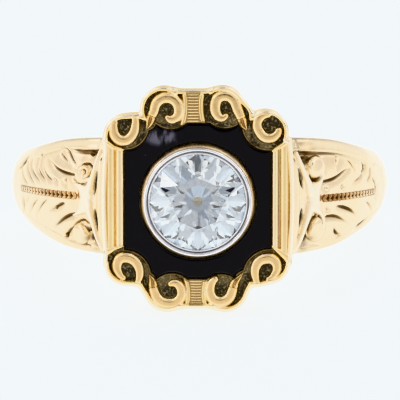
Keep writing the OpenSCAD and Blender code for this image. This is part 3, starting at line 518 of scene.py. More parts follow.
def polished_gold(name, tones, dullness=(0.1, 0.22), marks=0.3):
    """Plain smooth gold between two tones, paler where it is worn or a highlight is painted."""
    p = Paint(name)
    tone = p.blended(p.ranged(p.noise(420, 4), 0.35, 0.7), *tones)
    tone = p.blended(p.attribute("wear_and_highlight"), tone, PALE_GOLD)
    rough = p.ranged(p.noise(1800, 5), 0.3, 0.75, *dullness)
    wear = p.bumps(p.noise(3600, 3, stretch=(1, 1, 7)), 0.000004, marks)
    p.set(Base_Color=tone, Metallic=1.0, Roughness=rough, Normal=wear)
    return p.material


def white_metal():
    """Polished white gold, with shade painted dark into the groove behind the bead and under the lip."""
    p = Paint("white_metal")
    tone = p.blended(p.ranged(p.noise(900, 3), 0.35, 0.7), *WHITE_METALS)
    tone = p.blended(p.attribute("painted_shade"), tone, GROOVE_SHADE)
    rough = p.ranged(p.noise(2600, 4), 0.3, 0.75, 0.07, 0.18)
    p.set(Base_Color=tone, Metallic=1.0, Roughness=rough, Normal=p.bumps(p.noise(6000, 2), 0.000003, 0.3))
    return p.material


def black_enamel():
    """Deep black glass with faint waves, a few pin holes and one scuffed patch near the upper left."""
    p = Paint("black_enamel")
    spot = laid(face_point(*SCUFF_PLACE, 0.0))
    moved = p.add("ShaderNodeMapping", {"Vector": p.place, "Location": [-v for v in spot]}).outputs[0]
    turned = p.add("ShaderNodeMapping", {
        "Vector": moved, "Rotation": (0, SCUFF_TURN, 0),
        "Scale": (1 / (SCUFF_SIZE[0] * MM), 0, 1 / (SCUFF_SIZE[1] * MM)),
    }).outputs[0]
    streaks = p.noise(2600, 4, stretch=(1, 1, 0.35))
    scuff = p.times(p.ranged(p.length(turned), 0.35, 1.0, 1, 0), p.ranged(streaks, 0.40, 0.62))
    holes = p.add("ShaderNodeTexVoronoi", {"Vector": p.place, "Scale": 1500.0}).outputs["Distance"]
    tone = p.blended(scuff, BLACK, SCUFFED)
    tone = p.blended(p.ranged(holes, 0.03, 0.09, 1, 0), tone, PIN_HOLE)
    rough = p.plus(p.ranged(p.noise(700, 4), 0.3, 0.75, 0.04, 0.12), p.times(scuff, 0.3))
    p.set(Base_Color=tone, Roughness=rough, Normal=p.bumps(p.noise(500, 2), 0.00002, 0.25), IOR=1.47)
    return p.material


def old_cut_stone():
    """Clear stone; its shade mark gives the share of slate, painted in as a dark reflection, in a facet's
    look.
    """
    p = Paint("old_cut_stone")
    clear = p.blended(p.ranged(p.noise(900, 2), 0.3, 0.7), *CLEAR)
    p.set(Base_Color=p.blended(p.attribute("shade"), clear, SLATE), Roughness=0.0, IOR=2.417,
          Transmission_Weight=1.0)
    return p.material


def floor_paper():
    """Pale back-lit paper that takes only the faintest shadow and grows brighter away from the ring."""
    p = Paint("pale_paper")
    near = p.blended(p.ranged(p.noise(60, 2), 0.3, 0.7), FLOOR_GLOW, [v * 1.01 for v in FLOOR_GLOW])
    glow = p.blended(p.ranged(p.length(p.place), 0.045, 0.12), near, FLOOR_FAR)
    p.set(Base_Color=FLOOR_PAINT, Roughness=0.9, Emission_Color=glow, Emission_Strength=1.0,
          Specular_IOR_Level=0.0)
    return p.material


# Head: its outlines as distances, negative inside

def disc(x, y, c):
    """Distance from a circle of x, y and radius."""
    return np.hypot(x - c[0], y - c[1]) - c[2]


def box(x, y, x0, y0, x1, y1):
    """Distance from a box between two corners."""
    dx = np.abs(x - (x0 + x1) / 2) - (x1 - x0) / 2
    dy = np.abs(y - (y0 + y1) / 2) - (y1 - y0) / 2
    return np.hypot(np.maximum(dx, 0), np.maximum(dy, 0)) + np.minimum(np.maximum(dx, dy), 0)


def softer_min(a, b, k):
    """The smaller of two distances, with the corner between them rounded over the width k."""
    h = np.clip(0.5 + 0.5 * (b - a) / k, 0, 1)
    return b * (1 - h) + a * h - k * h * (1 - h)


def head_outline(x, y):
    """The head's outline, negative inside."""
    bar = np.maximum(np.abs(x) - BAR_X + BAR_BULGE * (y / BAR_L) ** 2, np.abs(y) - BAR_L)
    d = softer_min(box(x, y, -CORE_X, -CORE_LOW, CORE_X, CORE_TOP), bar, 0.06)
    for w in WAISTS:
        d = softer_min(d, box(x, y, w[0], min(w[2], 0), w[1], max(w[2], 0)), 0.06)
    for lobe in LOBES:
        d = softer_min(d, disc(x, y, lobe), 0.25)
    return d


def window(x, y):
    """The enamel's window, negative inside."""
    d = box(x, y, -WINDOW_X, -WINDOW_Y, WINDOW_X, WINDOW_Y)
    for g in GROUNDS:
        d = -softer_min(-d, disc(x, y, g), 0.04)
    return d


def crossing(distance, angles, reach, outermost):
    """The radius at which each ray from the middle of the face crosses an outline."""
    r = np.arange(reach[0], reach[1], 0.004)
    a = angles[:, None]
    inside = distance(r * np.cos(a), r * np.sin(a)) <= 0
    if outermost:
        k = len(r) - 1 - np.argmax(inside[:, ::-1], axis=1)
    else:
        k = np.argmin(inside, axis=1) - 1
    lo, hi = r[k], r[np.minimum(k + 1, len(r) - 1)]
    for _ in range(10):
        mid = (lo + hi) / 2
        within = distance(mid * np.cos(angles), mid * np.sin(angles)) <= 0
        lo, hi = np.where(within, mid, lo), np.where(within, hi, mid)
    return lo


def crowned(share, power=2.4, fullness=0.6):
    """Height of a rounded band from 1 in its middle to 0 at its edges."""
    return np.clip(1 - np.clip(np.abs(share), 0, 1) ** power, 0, 1) ** fullness


def stroke(x, y, line):
    """For each place: nearest distance to a line over its half width there, and how far along it is."""
    best = np.full(x.shape, 9.0)
    when = np.zeros(x.shape)
    for k in range(len(line) - 1):
        a, b = line[k], line[k + 1]
        wide = max(a[2], b[2]) / 2
        near = ((x > min(a[0], b[0]) - wide) & (x < max(a[0], b[0]) + wide)
                & (y > min(a[1], b[1]) - wide) & (y < max(a[1], b[1]) + wide))
        if not near.any():
            continue
        px, py = x[near] - a[0], y[near] - a[1]
        way = b[:2] - a[:2]
        t = np.clip((px * way[0] + py * way[1]) / (way @ way), 0, 1)
        half = (a[2] + (b[2] - a[2]) * t) / 2
        share = np.hypot(px - t * way[0], py - t * way[1]) / half
        closer = share < best[near]
        kept = best[near]
        kept[closer] = share[closer]
        best[near] = kept
        seen = when[near]
        seen[closer] = (k + t[closer]) / (len(line) - 1)
        when[near] = seen
    return best, when


def scroll_line(scroll):
    """A scroll's middle line, as rows of x, y and width."""
    rows = dense(scroll[3], 6)
    a = np.radians(rows[:, 0])
    return np.stack([scroll[0] + rows[:, 1] * np.cos(a), scroll[1] + rows[:, 1] * np.sin(a), rows[:, 2]], -1)


def leaf_share(scroll, when):
    """1 on the pointed leaf at a scroll's end, 0 on its curl."""
    rows, leaf = len(scroll[3]) - 1, scroll[2]
    if leaf == 0:
        return np.zeros(when.shape)
    if leaf > rows / 2:
        return smooth_step(when * rows, leaf - 1.6, leaf - 1.3)
    return smooth_step(when * rows, leaf - 0.4, leaf - 0.7)


def waist_half(y, w):
    """A waist is narrow in its middle and spreads at both ends."""
    middle = (WINDOW_Y + abs(w[2])) / 2
    return WAIST_HALF - 0.05 + 0.26 * ((np.abs(y) - middle) / (abs(w[2]) - WINDOW_Y) * 2) ** 2 * 0.5


def punched(x, y):
    """The uneven floor that a matting punch leaves, between -1 and 1."""
    return 0.5 * (np.sin(57 * x + 9 * np.sin(7 * y)) * np.sin(53 * y + 8 * np.sin(9 * x))
                  + np.sin(83 * x - 31 * y) * np.sin(29 * x + 79 * y))


DISH = 0.014                   # how far a scroll's middle lies below its two lips
LEAF_DIP, LEAF_NOTCH = 0.16, 0.10    # how hollow a leaf is, and how deep the cut between it and the curl
PUNCH_H = 0.014                # unevenness of the punched ground
BEAD_H = 0.13                  # how far the rim's bead stands above the wall's edge
WINDOW_BEAD = 0.03             # a fine bead round the enamel
CAP_RISE = 0.17                # how domed the bars' caps are
REED_FLOOR = 0.10              # floor of the grooves beside the reeds, above the ground
REED_GROOVE_SHADE = 0.2, 0.5        # painted shade in those grooves, left and right
FLANK_RISE, RIB_BED = 0.26, 0.10    # how high a waist's flanks stand, and how far its floor is sunk
OLIVE = 0.12                   # how much less dark the ground is made beside the enamel


def add_scroll(scroll, x, y, height, painted_brown, warm_shade, wear):
    """Lays a scroll over what is there: a dished band with two lips, ending in a dipped leaf or none. Shade
    is painted on the leaf and the curl's inner side, warm shade in the dish, and a highlight on the lips.
    """
    share, when = stroke(x, y, scroll_line(scroll))
    leaf = leaf_share(scroll, when)
    dish = smooth_step(share, 0.75, 0.15) * (1 - leaf)
    top = GROUND_H + (CREST_H - GROUND_H) * crowned(share, 3.4, 0.62) * (1 - 0.15 * leaf) - DISH * dish
    top = top - LEAF_DIP * leaf * smooth_step(share, 0.62, 0.0)
    top = top - LEAF_NOTCH * np.exp(-((leaf - 0.5) / 0.3) ** 2) * (leaf > 0.02) * (leaf < 0.98)
    # Shade is painted on the hollow leaf.
    painted_brown = np.where((share < 1) & (top > height), 0.55 * leaf * smooth_step(share, 0.7, 0.1), painted_brown)
    on_top = (share < 1) & (top >= height)
    # Shade is painted into the inner side of the curl.
    inner = smooth_step(np.hypot(x - scroll[0], y - scroll[1]), 0.74, 0.44) * (1 - leaf)
    painted_brown = np.where(on_top, np.maximum(painted_brown, 0.14 * dish * inner), painted_brown)
    # The dish's middle and the leaf get painted warm shade.
    warm_shade = np.where(on_top, np.maximum(dish, 0.6 * leaf), warm_shade)
    # The lips get a painted highlight.
    wear = np.where(on_top, 0.75 * np.exp(-((share - 0.76) / 0.14) ** 2) * (1 - leaf), wear)
    return np.where(share < 1, np.maximum(height, top), height), painted_brown, warm_shade, wear


def add_bars(x, y, edge, height, painted_brown):
    """The bars beside the enamel: tapered caps at their ends, and between them reeds over sunk grooves,
    which get painted shade.
    """
    in_bar = (np.abs(y) < BAR_L) & (np.abs(x) > WINDOW_X - 0.1) & (edge >= RIM_W * 0.9)
    for cap in CAPS:
        line = np.array(cap)
        share, _ = stroke(x, y, line)
        above = (np.abs(y) > np.interp(np.abs(x), *np.abs(line[::-1, :2]).T)) & (x * cap[0][0] > 0)
        in_bar &= ~(above & (y * cap[0][1] > 0))
        top = CREST_H - 0.20 + CAP_RISE * crowned(share, 2.6, 0.55)
        height = np.where(share < 1, np.maximum(height, top), height)
    groove = np.full(x.shape, GROUND_H + REED_FLOOR)
    for side, reeds in REEDS.items():
        for middle, r, top in reeds:
            rise = crowned((BAR_X - np.abs(x) - middle) / r, 2.6, 0.6) * (x * side > 0)
            groove = np.maximum(groove, GROUND_H + REED_FLOOR + (top - GROUND_H - REED_FLOOR) * rise)
    height = np.where(in_bar, np.maximum(height * (height > CREST_H - 0.25), groove), height)
    sunk = smooth_step(height, GROUND_H + 2 * REED_FLOOR, GROUND_H + REED_FLOOR)
    # Shade is painted into the sunk grooves beside the reeds.
    deep = np.where(x < 0, *REED_GROOVE_SHADE) * sunk
    return height, np.where(in_bar, deep, painted_brown), in_bar


def add_waists(x, y, edge, height, painted_brown):
    """The waists between the scrolls: raised flanks, and a sunk floor that carries the ribs."""
    on_waist = np.zeros(x.shape, bool)
    for w in WAISTS:
        inside = waist_half(y, w) + 0.16 - np.abs(x - (w[0] + w[1]) / 2)
        there = (inside > 0) & (y * w[2] > 0) & (np.abs(y) > WINDOW_Y - 0.1) & (edge > RIM_W / 2)
        flank = GROUND_H + FLANK_RISE * np.sqrt(np.clip(1 - (1 - np.clip(inside / 0.17, 0, 1)) ** 2, 0, 1))
        flank = flank - RIB_BED * smooth_step(inside, 0.26, 0.32)
        height = np.where(there, np.maximum(height, flank), height)
        # Shade is painted on the waist's sunk floor.
        painted_brown = np.where(there & (inside > 0.28), 0.6, painted_brown)
        on_waist |= there
    return height, painted_brown, on_waist


def relief(x, y):
    """The face's height over the enamel; how matted each place is, the matting painted dark as shade; and
    its painted shade, its wear with painted highlight, and its painted warm shade.
    """
    edge, lip = -head_outline(x, y), window(x, y)
    height = GROUND_H + PUNCH_H * punched(x, y)
    painted_brown, warm_shade, wear = (np.zeros(x.shape) for _ in range(3))
    for scroll in SCROLLS:
        height, painted_brown, warm_shade, wear = add_scroll(scroll, x, y, height, painted_brown, warm_shade, wear)
    across = np.clip(np.abs(edge - RIM_W / 2) / (RIM_W / 2), 0, 1)
    rim = CREST_H - BEAD_H + BEAD_H * crowned(across, 3.0, 0.5) - 0.07 * smooth_step(edge, RIM_W * 0.8, 0)
    height = np.where(edge < RIM_W, np.maximum(height, rim), height)
    height = np.where(edge < RIM_W / 2, rim, height)
    height = np.maximum(height, GROUND_H + WINDOW_BEAD * crowned((lip - 0.04) / 0.04, 2, 0.5))
    # Shade is painted along the enamel's edge.
    painted_brown = np.where(lip < 0.10, 0.75, painted_brown)
    height, painted_brown, in_bar = add_bars(x, y, edge, height, painted_brown)
    height, painted_brown, on_waist = add_waists(x, y, edge, height, painted_brown)
    ground = smooth_step(height, GROUND_H + 0.09, GROUND_H + 0.03)
    ground = np.where(in_bar | on_waist | (edge < RIM_W * 0.8) | (lip < 0.05), 0, ground)
    ground = ground * (1 - OLIVE * smooth_step(lip, 0.75, 0.25) * (edge > 0.5))
    # Shade is painted on the low places, the ground excepted.
    low = smooth_step(height, GROUND_H + 0.28, GROUND_H + 0.12) * ~in_bar
    reach = np.where(np.abs(y) < BAR_L, 1.15, 0.65) * RIM_W
    # The outer edges and the bars are paled by wear and a painted highlight.
    wear_and_highlight = np.maximum(wear, 0.85 * smooth_step(edge, reach, reach * 0.6))
    wear_and_highlight = np.where(in_bar, np.maximum(wear_and_highlight, np.where(edge > 0.76, 0.45, 0.15)), wear_and_highlight)
    return height, ground, np.clip(np.maximum(painted_brown, 0.85 * low * (1 - ground)), 0, 1), wear_and_highlight, warm_shade


def head(gold):
    """The whole head as one skin: bed, inner wall, chased face, rim, side wall, foot and back."""
    turns = HEAD_TURNS
    even = np.linspace(0, 2 * np.pi, turns * 8, endpoint=False)
    weight = 1 - 0.65 * smooth_step(np.abs(np.sin(even)), 0.46, 0.40)
    a = np.interp(np.arange(turns) / turns, (np.cumsum(weight) - weight[0]) / weight.sum(), even)
    r_in = crossing(window, a, (3.0, 6.5), False)
    r_out = crossing(head_outline, a, (4.4, 7.4), True)
    s = np.linspace(0, 1, FACE_ROWS)
    t = 0.65 * s + 0.35 * (0.5 - 0.5 * np.cos(np.pi * s))
    r = r_in + (r_out - r_in) * t[:, None]
    x, y = r * np.cos(a), r * np.sin(a)
    height, ground, painted_brown, wear_and_highlight, warm_shade = relief(x, y)
    height[0], height[-1] = GROUND_H - 0.03, CREST_H - BEAD_H

    def ring(radius, depth):
        return face_point(radius * np.cos(a), radius * np.sin(a), depth - ENAMEL_D)

    bed_d, seat_d = ENAMEL_D - ENAMEL_T, seat_depth()
    hub, well = np.full(turns, 0.05), np.full(turns, (bed_d - seat_d) / math.tan(PAVILION))
    wall_top, wall_low = ENAMEL_D + CREST_H - BEAD_H, BACK_D + FOOT_T
    bed = [ring(hub, seat_d), ring(well, bed_d), ring(r_in - 0.4, bed_d), ring(r_in, bed_d)]
    wall = [ring(r_out - DRAFT * step ** 0.8, wall_top + (wall_low - wall_top) * step)
            for step in WALL_STEPS]
    foot = [ring(r_out - DRAFT + FOOT_OUT * out, BACK_D + FOOT_T * up) for out, up in FOOT_STEPS]
    grid = np.stack([*bed, *face_point(x, y, height), *wall, *foot, ring(hub, BACK_D)])
    piece = new_piece("head", grid, grid_faces(len(grid), turns), gold)
    # Painted shade, wear with painted highlight and painted warm shade are stored with the matted ground for
    # the material
    for name, on_face, on_wall in (("ground", ground, ()), ("painted_shade", painted_brown, ()), ("wear_and_highlight", wear_and_highlight, WALL_WEAR_AND_HIGHLIGHT),
                                   ("warm_shade", warm_shade, ())):
        values = np.zeros((len(grid), turns))
        values[len(bed):len(bed) + FACE_ROWS] = on_face
        for k, value in enumerate(on_wall):
            values[len(bed) + FACE_ROWS + k] = value
        mark(piece, name, values)
    return piece, a, r_in


def seat_depth():
    """Depth of the point of the stone's seat."""
    return ENAMEL_D + GIRDLE_H - (STONE_R + 2 * GAP) * math.tan(PAVILION)


def enamel(material, a, r_in):
    """Enamel plate: slightly waved, rounded down where it meets the gold."""
    inner, edge = CONE_R + 0.04 + GAP, r_in - GAP
    r = inner + (edge - inner) * np.array(ENAMEL_ROWS)[:, None]
    from_edge = np.minimum(r - inner, edge - r)
    drop = -0.03 * np.exp(-from_edge / 0.03)
    x, y = r * np.cos(a), r * np.sin(a)
    wave = 0.004 * np.sin(1.7 * x + 0.6 * y) * np.sin(1.3 * y - 0.4 * x)
    top = face_point(x, y, drop + wave * smooth_step(from_edge, 0, 0.4))
    low = GAP - ENAMEL_T
    under = [face_point(q * np.cos(a), q * np.sin(a), low) for q in (edge, np.full(len(a), inner))]
    rows = np.stack([*top, *under])
    return new_piece("enamel", rows, grid_faces(len(rows), len(a), wrap_rows=True), material)


# Band and carved shoulders

def band_at(angle):
    """Half width, thickness and squareness of the band's section at an angle."""
    return along(BAND_ROWS, np.minimum(np.abs(angle), 180) / ROW_STEP)


def outer_r(angle, z):
    """Radius of the band's plain outer surface."""
    w, t, p = np.moveaxis(band_at(angle), -1, 0)
    share = np.minimum(np.abs(z) / w, 1)
    return BORE_R + WIDEST * t + (1 - WIDEST) * t * (1 - share ** p) ** (1 / p)


MM_PER_DEGREE = 0.185    # arc length on the shoulders' surface
OUTER_POINTS, INNER_POINTS = 160, 14    # round a section of the band
CARVED_STEP = 0.23       # degrees from one section to the next on the shoulders
# Carving, from the band's plain surface: the knobs' and flares' foot, the flares' rise, the gullies' depth
KNOB_FOOT, FLARE_FOOT, FLARE_RISE, GULLY_D = -0.16, -0.15, 0.20, 0.14
STEM_HALF = 0.22         # half width of the bed under a stem's grains


def flat_line(rows):
    """A smooth line on the shoulder's unrolled surface, in millimetres, through rows of angle and height."""
    rows = np.array(rows, float)
    rows[:, 0] *= MM_PER_DEGREE
    return dense(rows, 5)


def cut_depth(u, v, rows, even=False):
    """A crease: steep on one side and rising slowly on the other, unless it is even."""
    line = flat_line(rows)
    depth = np.zeros(u.shape)
    for k in range(len(line) - 1):
        a, b = line[k], line[k + 1]
        way = b[:2] - a[:2]
        length = np.hypot(*way)
        px, py = u - a[0], v - a[1]
        t = np.clip((px * way[0] + py * way[1]) / length ** 2, 0, 1)
        dx, dy = px - t * way[0], py - t * way[1]
        d = np.hypot(dx, dy)
        below = (way[0] * dy - way[1] * dx) * (1 if way[0] > 0 else -1) < 0
        deep = a[2] + (b[2] - a[2]) * t
        narrow = np.exp(-(d / 0.060) ** 2)
        soft = narrow if even else np.where(below, np.exp(-d / 0.15), narrow)
        depth = np.maximum(depth, deep * soft)
    return depth


def spot(u, v, angle, z, radius, depth):
    """A soft round spot on the unrolled surface."""
    return depth * np.exp(-2 * (np.hypot(u - angle * MM_PER_DEGREE, v - z) / radius) ** 2)


def carving(angle, z, side):
    """Height of the carving over the band's plain surface; the shade painted into its cuts, pits and
    hollows; how matted, and so painted dark, each place is; and the painted highlight on the flares.
    """
    table = SHOULDERS[side]
    u, v = angle * MM_PER_DEGREE, z
    border = np.interp(angle, *np.array(table["border"]).T)
    lower = np.interp(angle, *np.array(table["lower_border"]).T)
    inside = np.minimum(border - v, v - lower)
    fade = smooth_step(angle, 79, 73)
    near_head = smooth_step(angle, 40.5, 35.5) * smooth_step(angle, 29.5, 33.5)
    field = smooth_step(inside, 0, 0.05 + 0.10 * near_head)
    height = -(0.05 + 0.11 * near_head) * field * fade
    cuts = np.zeros(u.shape)
    for rows in table["cuts"]:
        cuts = np.maximum(cuts, cut_depth(u, v, rows))
    height = height - cuts * fade
    for pit in table["pits"]:
        dip = spot(u, v, *pit)
        cuts = np.maximum(cuts, dip)
        height = height - dip
    for px, py, r, rise in table["knobs"]:
        share = np.hypot(u - px * MM_PER_DEGREE, v - py) / r
        dome = KNOB_FOOT + (0.08 + rise) * crowned(share, 5.0, 0.8)
        height = np.where(share < 1, np.maximum(height, dome), height)
        cuts = np.where(share < 0.95, np.minimum(cuts, 0.02), cuts)
    apart = np.ones(u.shape)
    for rows in table["flare"]:
        share, _ = stroke(u, v, flat_line(rows))
        apart = apart * (1 - crowned(share, 2.2, 0.75))
    body = 1 - apart
    height = np.where(body > 0, np.maximum(height, FLARE_FOOT + FLARE_RISE * body), height)
    cuts = np.where(body > 0.3, 0, cuts)
    for rows in table["swirls"]:
        line = cut_depth(u, v, rows, even=True) * (body < 0.75)
        cuts = np.maximum(cuts, line)
        height = height - line
    # The gullies are matted and, like the head's ground, painted dark as shade.
    matted = np.zeros(u.shape)
    for rows in table["gullies"]:
        share, _ = stroke(u, v, flat_line(rows))
        matted = np.maximum(matted, smooth_step(share, 1.1, 0.8) * smooth_step(body, 0.4, 0.2))
    height = height - GULLY_D * matted + 0.12 * smooth_step(angle, 30.8, 29.2) * (body < 0.05)
    stem_z, first, last, _ = table["stem"]
    on_stem = crowned((v - stem_z) / STEM_HALF)
    on_stem = on_stem * smooth_step(angle, first - 1, first) * smooth_step(angle, last + 4, last)
    height = np.maximum(height, np.where((on_stem > 0) & (body < 0.05), -0.12 + 0.06 * on_stem, -9))
    # Shade is painted into the cuts and pits, on the sunk field near the head and under the stem's grains.
    painted_shade = smooth_step(cuts, 0.02, 0.16) + 0.3 * smooth_step(height, -0.10, -0.24) * near_head
    painted_shade = np.maximum(painted_shade, np.where(body < 0.05, 0.8 * smooth_step(on_stem, 0, 0.5), 0))
    # Shade spots: shade painted on with no depth.
    for shade in table["shades"]:
        painted_shade = np.maximum(painted_shade, spot(u, v, *shade) * smooth_step(body, 0.6, 0.2))
    # The flares get a painted highlight.
    return height, np.clip(painted_shade, 0, 1), matted, smooth_step(body, 0.05, 0.4) * 0.9


def section(angle):
    """The band's section at an angle: radius, height and outward direction, outer side first."""
    w, t, p = band_at(np.array(angle, float))
    q = np.linspace(0, np.pi, 721)
    z = w * np.sign(np.cos(q)) * np.abs(np.cos(q)) ** (2 / p)
    r = BORE_R + WIDEST * t + (1 - WIDEST) * t * np.sin(q) ** (2 / p)
    gone = np.concatenate([[0], np.cumsum(np.hypot(np.diff(z), np.diff(r)))])
    at = np.linspace(0, gone[-1], OUTER_POINTS)
    z, r = np.interp(at, gone, z), np.interp(at, gone, r)
    dz, dr = np.gradient(z), np.gradient(r)
    out = np.stack([-dz, dr], -1)
    out /= np.hypot(*out.T)[:, None]
    b = np.linspace(0, np.pi / 2, INNER_POINTS // 2)[1:]
    zi = w * (0.91 + 0.09 * np.cos(b))
    ri = BORE_R + WIDEST * t * (1 - np.sin(b))
    return z, r, out, np.concatenate([-zi, zi[::-1]]), np.concatenate([ri, ri[::-1]])


def band(gold):
    """The hoop as one skin, carved on both shoulders."""
    fine = np.arange(28.0, 78.01, CARVED_STEP)
    angles = np.concatenate([
        np.arange(-177, -80, 3.0), -fine[::-1], np.arange(-26, 27, 4.0), fine, np.arange(81, 181, 3.0)])
    rows, marks = [], {"painted_shade": [], "ground": [], "wear_and_highlight": []}
    for angle in angles:
        z, r, out, under_z, under_r = section(angle)
        worked = np.zeros((len(marks), OUTER_POINTS))
        if 27 < abs(angle) < 80:
            height, *worked = carving(np.full(OUTER_POINTS, abs(angle)), z, 1 if angle > 0 else -1)
            w = band_at(np.array(float(angle)))[0]
            keep = smooth_step(np.abs(z), w * 0.995, w * 0.93) * smooth_step(abs(angle), 79, 76)
            r = r + out[:, 0] * height * keep
            z = z + out[:, 1] * height * keep
        rows.append(hoop_point(np.concatenate([r, under_r]), angle, np.concatenate([z, under_z])))
        for values, shown in zip(marks.values(), worked):
            values.append(np.concatenate([shown, np.zeros(len(under_z))]))
    grid = np.stack(rows)
    piece = new_piece("band", grid, grid_faces(*grid.shape[:2], wrap_rows=True), gold)
    for name, values in marks.items():
        mark(piece, name, values)
    return piece


# Pieces made by rule with geometry nodes

GRAIN_HALVES = (0.075, 0.13, 0.17)    # a grain's half sizes: across the grain, outwards, along it


class Rule(Nodes):
    """A geometry node tree with named inputs, run once to a plain mesh."""

    def __init__(self, name, material, **inputs):
        self.name, self.material = name, material
        self.tree = bpy.data.node_groups.new(name, "GeometryNodeTree")
        super().__init__(self.tree)
        self.values = {}
        sockets = self.tree.interface
        for label, value in inputs.items():
            kind = {int: "NodeSocketInt", float: "NodeSocketFloat"}.get(type(value), "NodeSocketObject")
            socket = sockets.new_socket(label.replace("_", " "), in_out="INPUT", socket_type=kind)
            self.values[socket.identifier] = value
        sockets.new_socket("Geometry", in_out="OUTPUT", socket_type="NodeSocketGeometry")
        self.given = self.nodes.new("NodeGroupInput").outputs

    def vector(self, x, y, z):
        return self.add("ShaderNodeCombineXYZ", {0: x, 1: y, 2: z}).outputs[0]

    def row(self, count):
        """A row of points, and how far along the row each of them is."""
        line = self.add("GeometryNodeMeshLine", {"Count": count}).outputs[0]
        index = self.add("GeometryNodeInputIndex").outputs[0]
        return line, self.math("DIVIDE", index, self.less(count, 1.0))

    def between(self, low, high, share):
        return self.plus(low, self.times(self.less(high, low), share))

    def ball(self, segments, rings):
        return self.add("GeometryNodeMeshUVSphere", {
            "Segments": segments, "Rings": rings, "Radius": 1.0}).outputs[0]

    def copies(self, line, place, shape, scale, rotation=(0, 0, 0)):
        """A copy of the shape at every point of the line, once the points are moved to their places."""
        points = self.add("GeometryNodeSetPosition", {"Geometry": line, "Position": place}).outputs[0]
        return self.add("GeometryNodeInstanceOnPoints", {
            "Points": points, "Instance": shape, "Rotation": rotation, "Scale": scale}).outputs[0]

    def made(self, geometry):
        """Realizes the instances, sets the material and returns the result as a mesh."""
        realized = self.add("GeometryNodeRealizeInstances", {"Geometry": geometry}).outputs[0]
        coloured = self.add("GeometryNodeSetMaterial", {"Geometry": realized, "Material": self.material})
        self.links.new(coloured.outputs[0], self.nodes.new("NodeGroupOutput").inputs[0])
        carrier = placed(self.name + "_carrier", bpy.data.meshes.new(self.name + "_carrier"))
        modifier = carrier.modifiers.new("rule", "NODES")
        modifier.node_group = self.tree
        for identifier, value in self.values.items():
            modifier[identifier] = value
        bpy.context.view_layer.update()
        graph = bpy.context.evaluated_depsgraph_get()
        mesh = bpy.data.meshes.new_from_object(carrier.evaluated_get(graph), depsgraph=graph)
        carrier.modifiers.remove(modifier)
        bpy.data.objects.remove(carrier)
        return mesh


def to_place(mesh, name, material):
    """Turns a mesh made in the ring frame in millimetres to where the ring lies."""
    mesh.vertices.foreach_set("co", laid(vertices(mesh)).ravel())
    return finished(name, mesh, material)


def stem_grains(name, gold, side):
    """A shoulder's stem: pairs of slanting grains like an ear of wheat, smaller away from the head."""
    z, first, last, count = SHOULDERS[side]["stem"]
    rule = Rule(name, gold, Pairs=count, First_angle=first, Last_angle=last,
                First_radius=float(outer_r(first, z)) + 0.03, Last_radius=float(outer_r(last, z)) - 0.02,
                Big=1.0, Small=0.42, Height=z, Side=float(side), Half_gap=0.10, Slant=math.radians(48))
    g = rule.given
    line, share = rule.row(g["Pairs"])
    angle = rule.math("RADIANS", rule.between(g["First angle"], g["Last angle"], share))
    radius = rule.between(g["First radius"], g["Last radius"], share)
    size = rule.between(g["Big"], g["Small"], rule.math("POWER", share, 1.7))
    x = rule.times(radius, rule.math("SINE", angle), g["Side"])
    y = rule.times(radius, rule.math("COSINE", angle), -1.0)
    grain = rule.ball(16, 10)
    scale = rule.vector(*(rule.times(size, half) for half in GRAIN_HALVES))
    rows = rule.add("GeometryNodeJoinGeometry")
    for up in (1.0, -1.0):
        place = rule.vector(x, y, rule.plus(g["Height"], rule.times(g["Half gap"], size, up)))
        rotation = rule.vector(0.0, rule.times(g["Slant"], g["Side"], up), rule.times(angle, g["Side"]))
        rule.links.new(rule.copies(line, place, grain, scale, rotation), rows.inputs[0])
    piece = to_place(rule.made(rows.outputs[0]), name, gold)
    across = np.abs(vertices(piece.data)[:, 0] - CENTRE.x) / MM
    near, far = (float(outer_r(a, z)) * math.sin(math.radians(a)) for a in (first, last))
    # A painted highlight makes the stem paler towards its far end.
    mark(piece, "wear_and_highlight", 0.9 * smooth_step(across, near + 0.35 * (far - near), far))
    return piece


def waist_ribs(name, gold, w):
    """The ribs across a waist, widest at both ends of the row."""
    up = 1.0 if w[2] > 0 else -1.0
    rule = Rule(name, gold, Ribs=w[3], First=(WINDOW_Y + 0.10) * up, Last=(abs(w[2]) - 0.14) * up,
                Middle=(w[0] + w[1]) / 2, Half_length=WAIST_HALF - 0.16, Spread=0.20, Rib_radius=0.046,
                Depth=ENAMEL_D + GROUND_H + 0.175)
    g = rule.given
    line, share = rule.row(g["Ribs"])
    height = rule.between(g["First"], g["Last"], share)
    place = rule.vector(g["Middle"], rule.times(g["Depth"], -1.0), height)
    off = rule.less(share, 0.5)
    length = rule.plus(g["Half length"], rule.times(g["Spread"], rule.times(off, off)))
    scale = rule.vector(length, g["Rib radius"], g["Rib radius"])
    return to_place(rule.made(rule.copies(line, place, rule.ball(16, 12), scale)), name, gold)


